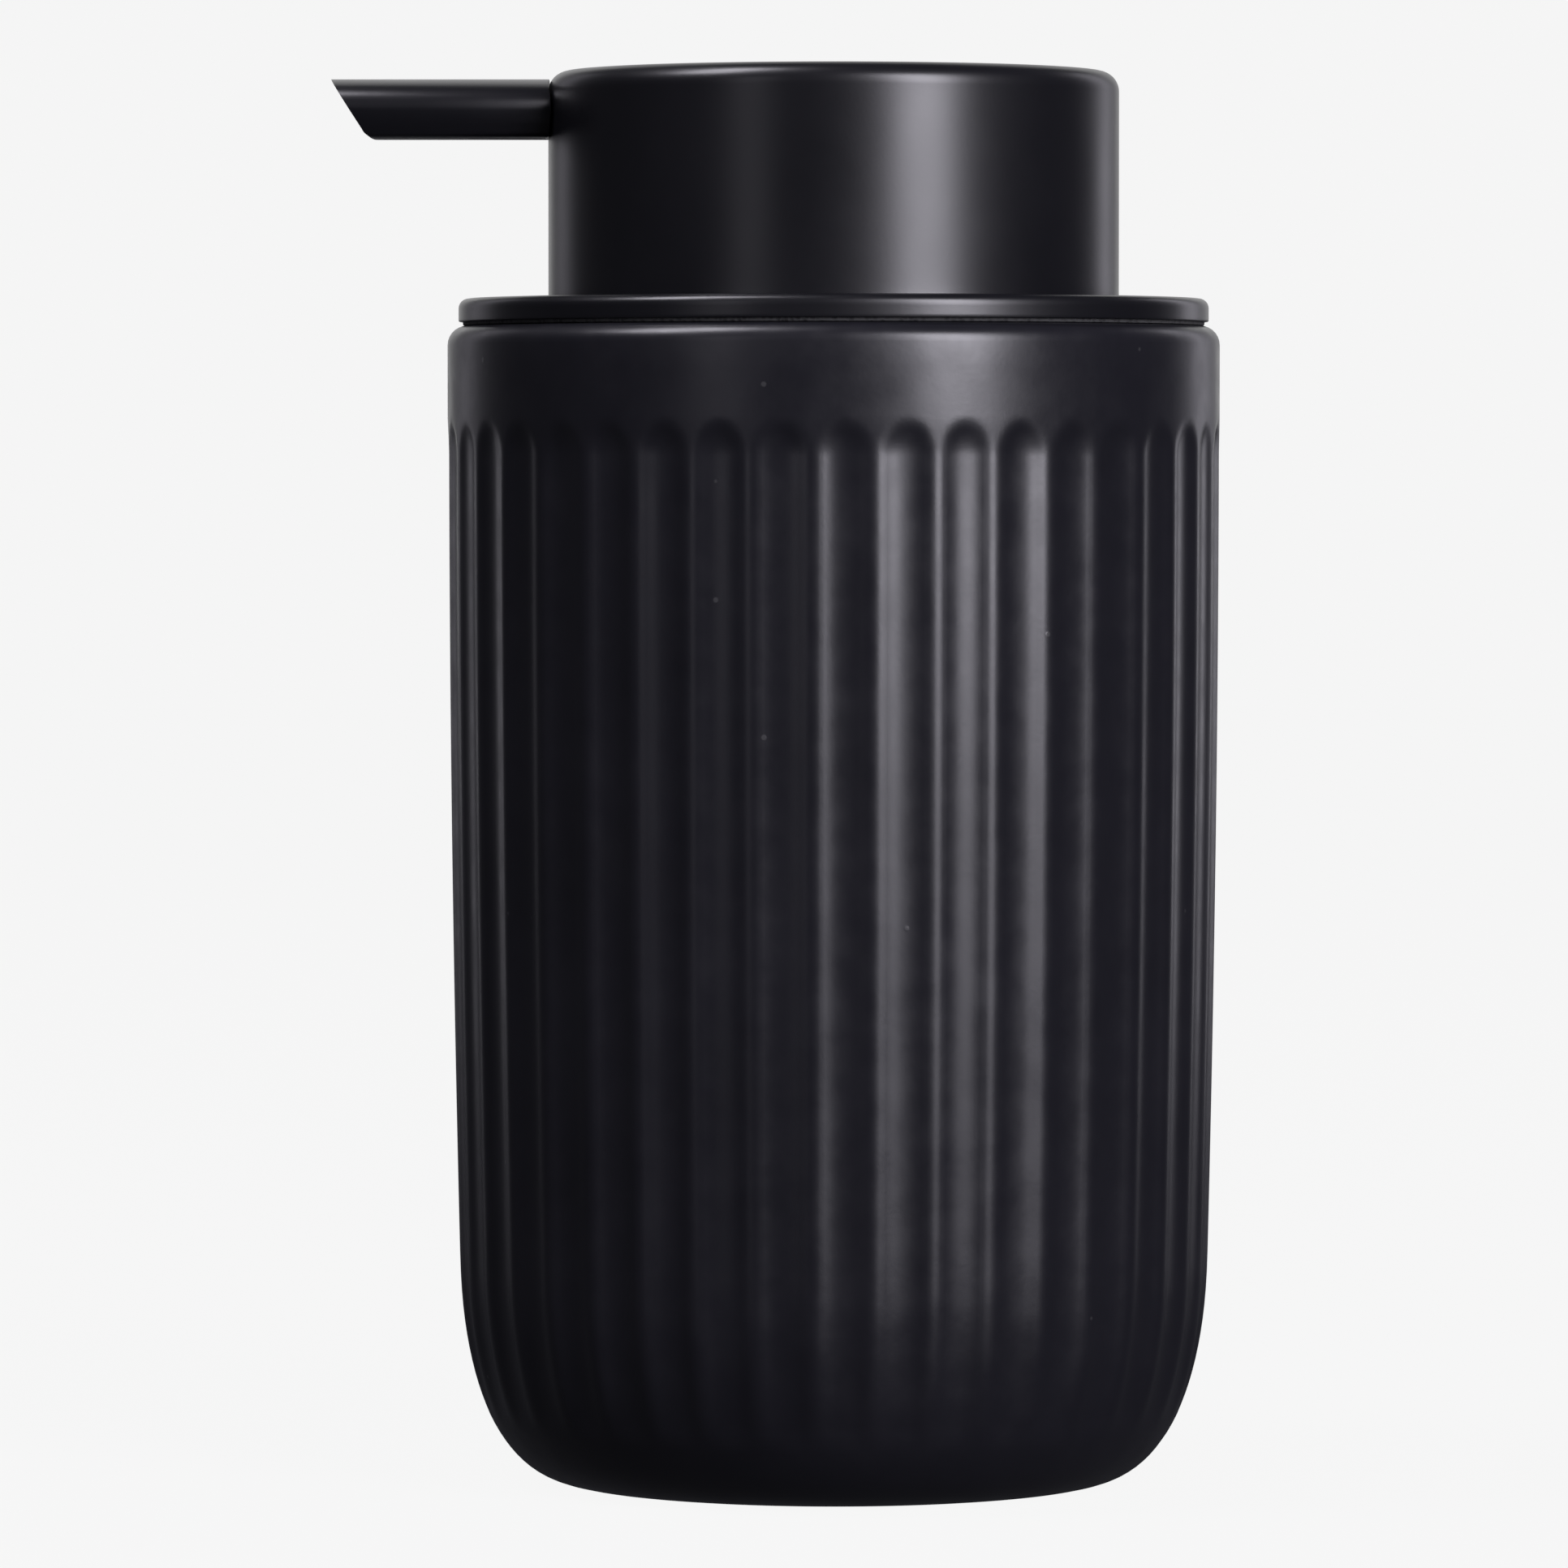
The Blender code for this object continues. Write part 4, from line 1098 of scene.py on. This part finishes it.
def makeActuatorFrame():
    v = Values(**frameValues)
    low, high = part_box("actuator_frame")
    neck = spoutHeight()
    hubTop = high.z - v.hubDrop
    hub = [(v.hubBore, low.z), (v.hub, low.z), (v.hub, hubTop), (0, hubTop), (0, v.ceiling),
           (v.hubBore, v.ceiling)]
    piece = turnPiece("actuatorFrame", hub, 72, 0.25 * mm)
    inner, outer = v.ring
    ribLow, ribHigh = v.ribZ
    for i in range(v.ribs):
        rib = block((v.hubBore + v.ribIn, -v.rib / 2, ribLow), ((inner + outer) / 2, v.rib / 2, ribHigh),
                    fullTurn * (i + 0.5) / v.ribs)
        cutWith(piece, rib, "UNION")
    ringLow, ringHigh = v.ringZ
    hoop = turnPiece("hoop", [(inner, ringLow), (outer, ringLow), (outer, ringHigh), (inner, ringHigh)],
                     144, 0.3 * mm)
    cutWith(piece, hoop, "UNION")
    duct = block((v.ductEnd, -v.duct / 2, v.ductLow), (v.riser, v.duct / 2, high.z), 0, v.ductEdge)
    cutWith(piece, duct, "UNION")
    cutWith(piece, neckCutter(v.socket, *v.socketX, neck))
    cutWith(piece, neckCutter(v.channel, v.riser / 2, v.channelEnd, neck))
    foot, top = v.ceiling - v.riserDrop, neck + v.riserRise
    riser = turnPiece("riser", [(0, foot), (v.riser, foot), (v.riser, top), (0, top)], 48, 0.1 * mm, False)
    cutWith(piece, riser)
    smooth(piece, 30)
    dress(piece, whiteLook, "head", "white_plastic", "actuator_frame")


ringValues = {"ease": 0.3 * mm, "edge": 0.3 * mm, "split": 1.6 * mm, "splitX": (26 * mm, 32 * mm),
              "splitOver": 1 * mm}


def makeRetainingRing():
    # Snap ring, split where it's sprung open
    v = Values(**ringValues)
    low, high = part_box("retaining_ring")
    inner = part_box("head_shell")[1].x - headValues["grooveDepth"] + v.ease
    outline = [(inner, low.z), (high.x - v.edge, low.z), (high.x, low.z + v.edge), (high.x, high.z),
               (inner, high.z)]
    ring = turnPiece("retainingRing", outline, 192, 0.12 * mm)
    near, far = v.splitX
    split = block((near, -v.split / 2, low.z - v.splitOver), (far, v.split / 2, high.z + v.splitOver),
                  math.pi / 2, 0)
    cutWith(ring, split)
    smooth(ring)
    dress(ring, nylonLook, "head", "black_nylon", "retaining_ring")


spoutSealValues = {"bore": 2.2 * mm, "groove": 0.2 * mm, "grooveHalf": 0.15 * mm}


def makeSpoutSeal():
    v = Values(**spoutSealValues)
    low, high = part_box("spout_seal")
    radius = (high.z - low.z) / 2
    middle = (low.x + high.x) / 2
    outline = [(low.x, v.bore), (low.x, radius), (middle - v.grooveHalf, radius),
               (middle, radius - v.groove), (middle + v.grooveHalf, radius), (high.x, radius),
               (high.x, v.bore)]
    seal = drawOutline("spoutSeal", easeOutline(outline, 0.15 * mm, True), True)
    spinOutline(seal, 48, axis=(1, 0, 0))
    pick(seal)
    setMode("EDIT")
    selectMesh()
    bpy.ops.transform.translate(value=(0, 0, spoutHeight()))
    setMode("OBJECT")
    smooth(seal)
    dress(seal, siliconeLook, "head", "silicone", "spout_seal")


makeActuatorFrame()
makeRetainingRing()
makeSpoutSeal()
print("head fittings ready")


# Camera

cameraValues = {"distance": 1.0105, "height": 107.2 * mm, "lookAt": (-5.14 * mm, 0, 72.5 * mm),
                "lens": 223.6, "sensor": 36, "clip": (0.02, 30)}


def turnTowards(place, aim):
    return (aim - place).to_track_quat("-Z", "Y").to_euler()


def makeCamera():
    v = Values(**cameraValues)
    aim = Vector(v.lookAt)
    place = Vector((aim.x, -v.distance, v.height))
    deselectAll()
    bpy.ops.object.camera_add(location=place, rotation=turnTowards(place, aim))
    camera = bpy.context.active_object
    camera.data.lens = v.lens
    camera.data.sensor_width = v.sensor
    camera.data.clip_start, camera.data.clip_end = v.clip
    bpy.context.scene.camera = camera


makeCamera()


# Stage: pale floor that curves up into a wall, with the part behind the object on its own

stageValues = {"radius": 2.6, "curve": 0.9, "height": 3.2, "pale": (0.92, 0.92, 0.92), "glow": 0.99,
               "bounce": 0.012, "roughness": 0.9, "behind": 2.6, "wallLow": 0.02}


def makeStage():
    v = Values(**stageValues)
    outline = [(0, 0), (v.radius - v.curve, 0)]
    outline += curveCorner((v.radius - v.curve, v.curve), v.curve, -90, 0, 12)
    outline += [(v.radius, v.height)]
    floor = drawOutline("paleFloor", outline, False)
    spinOutline(floor, 64)
    look, tree, shader = startLook("palePaper", [v.bounce] * 3, v.roughness)
    shader.inputs["Emission Color"].default_value = (*v.pale, 1)
    shader.inputs["Emission Strength"].default_value = v.glow
    shader.inputs["Specular IOR Level"].default_value = 0.0
    floor.data.materials.append(look)
    pick(floor)
    setMode("EDIT")
    bpy.ops.mesh.normals_make_consistent(inside=True)
    bpy.ops.mesh.select_all(action="DESELECT")
    setMode("OBJECT")
    for face in floor.data.polygons:
        face.select = face.center.y > abs(face.center.x) * v.behind and face.center.z > v.wallLow
    setMode("EDIT")
    bpy.ops.mesh.separate(type="SELECTED")
    setMode("OBJECT")
    wall = [o for o in bpy.context.selected_objects if o != floor][0]
    wall.name = "paleWall"
    smooth(floor)
    smooth(wall)
    floor.visible_glossy = False
    floor.visible_diffuse = False
    wall.visible_diffuse = False


makeStage()


# Lights: one tall softbox to the right, a weak one to the left, and strips behind

lightValues = {
    "key": {"azimuth": 36, "distance": 1.1, "height": 0.52, "size": (0.44, 0.92), "power": 20.8},
    "fill": {"azimuth": -34, "distance": 1.3, "height": 0.45, "size": (0.30, 0.80), "power": 0.9},
    "top": {"azimuth": -72, "distance": 0.62, "height": 1.15, "size": (0.34, 0.60), "power": 10.0},
    "backRight": {"azimuth": 140, "distance": 1.3, "height": 0.40, "size": (0.30, 0.9), "power": 1.4},
    "backLeft": {"azimuth": -140, "distance": 1.3, "height": 0.40, "size": (0.30, 0.9), "power": 0.6},
}

studioValues = {"aim": (0, 0, 80 * mm), "lamp": (0.935, 0.909, 1.0), "world": (0.086, 0.086, 0.100),
                "dim": 0.5}


def makeLights():
    aim = Vector(studioValues["aim"])
    for name, values in lightValues.items():
        v = Values(**values)
        angle = math.radians(v.azimuth)
        place = Vector((v.distance * math.sin(angle), -v.distance * math.cos(angle), v.height))
        deselectAll()
        bpy.ops.object.light_add(type="AREA", location=place, rotation=turnTowards(place, aim))
        lamp = bpy.context.active_object
        lamp.name = name + "Light"
        lamp.data.shape = "RECTANGLE"
        lamp.data.size, lamp.data.size_y = v.size
        lamp.data.energy = v.power
        lamp.data.color = studioValues["lamp"]
    world = bpy.data.worlds.new("studio")
    world.use_nodes = True
    background = world.node_tree.nodes["Background"]
    background.inputs["Color"].default_value = (*studioValues["world"], 1)
    background.inputs["Strength"].default_value = studioValues["dim"]
    bpy.context.scene.world = world
    bpy.context.scene.view_settings.view_transform = "Standard"


makeLights()
print("stage and lights ready")
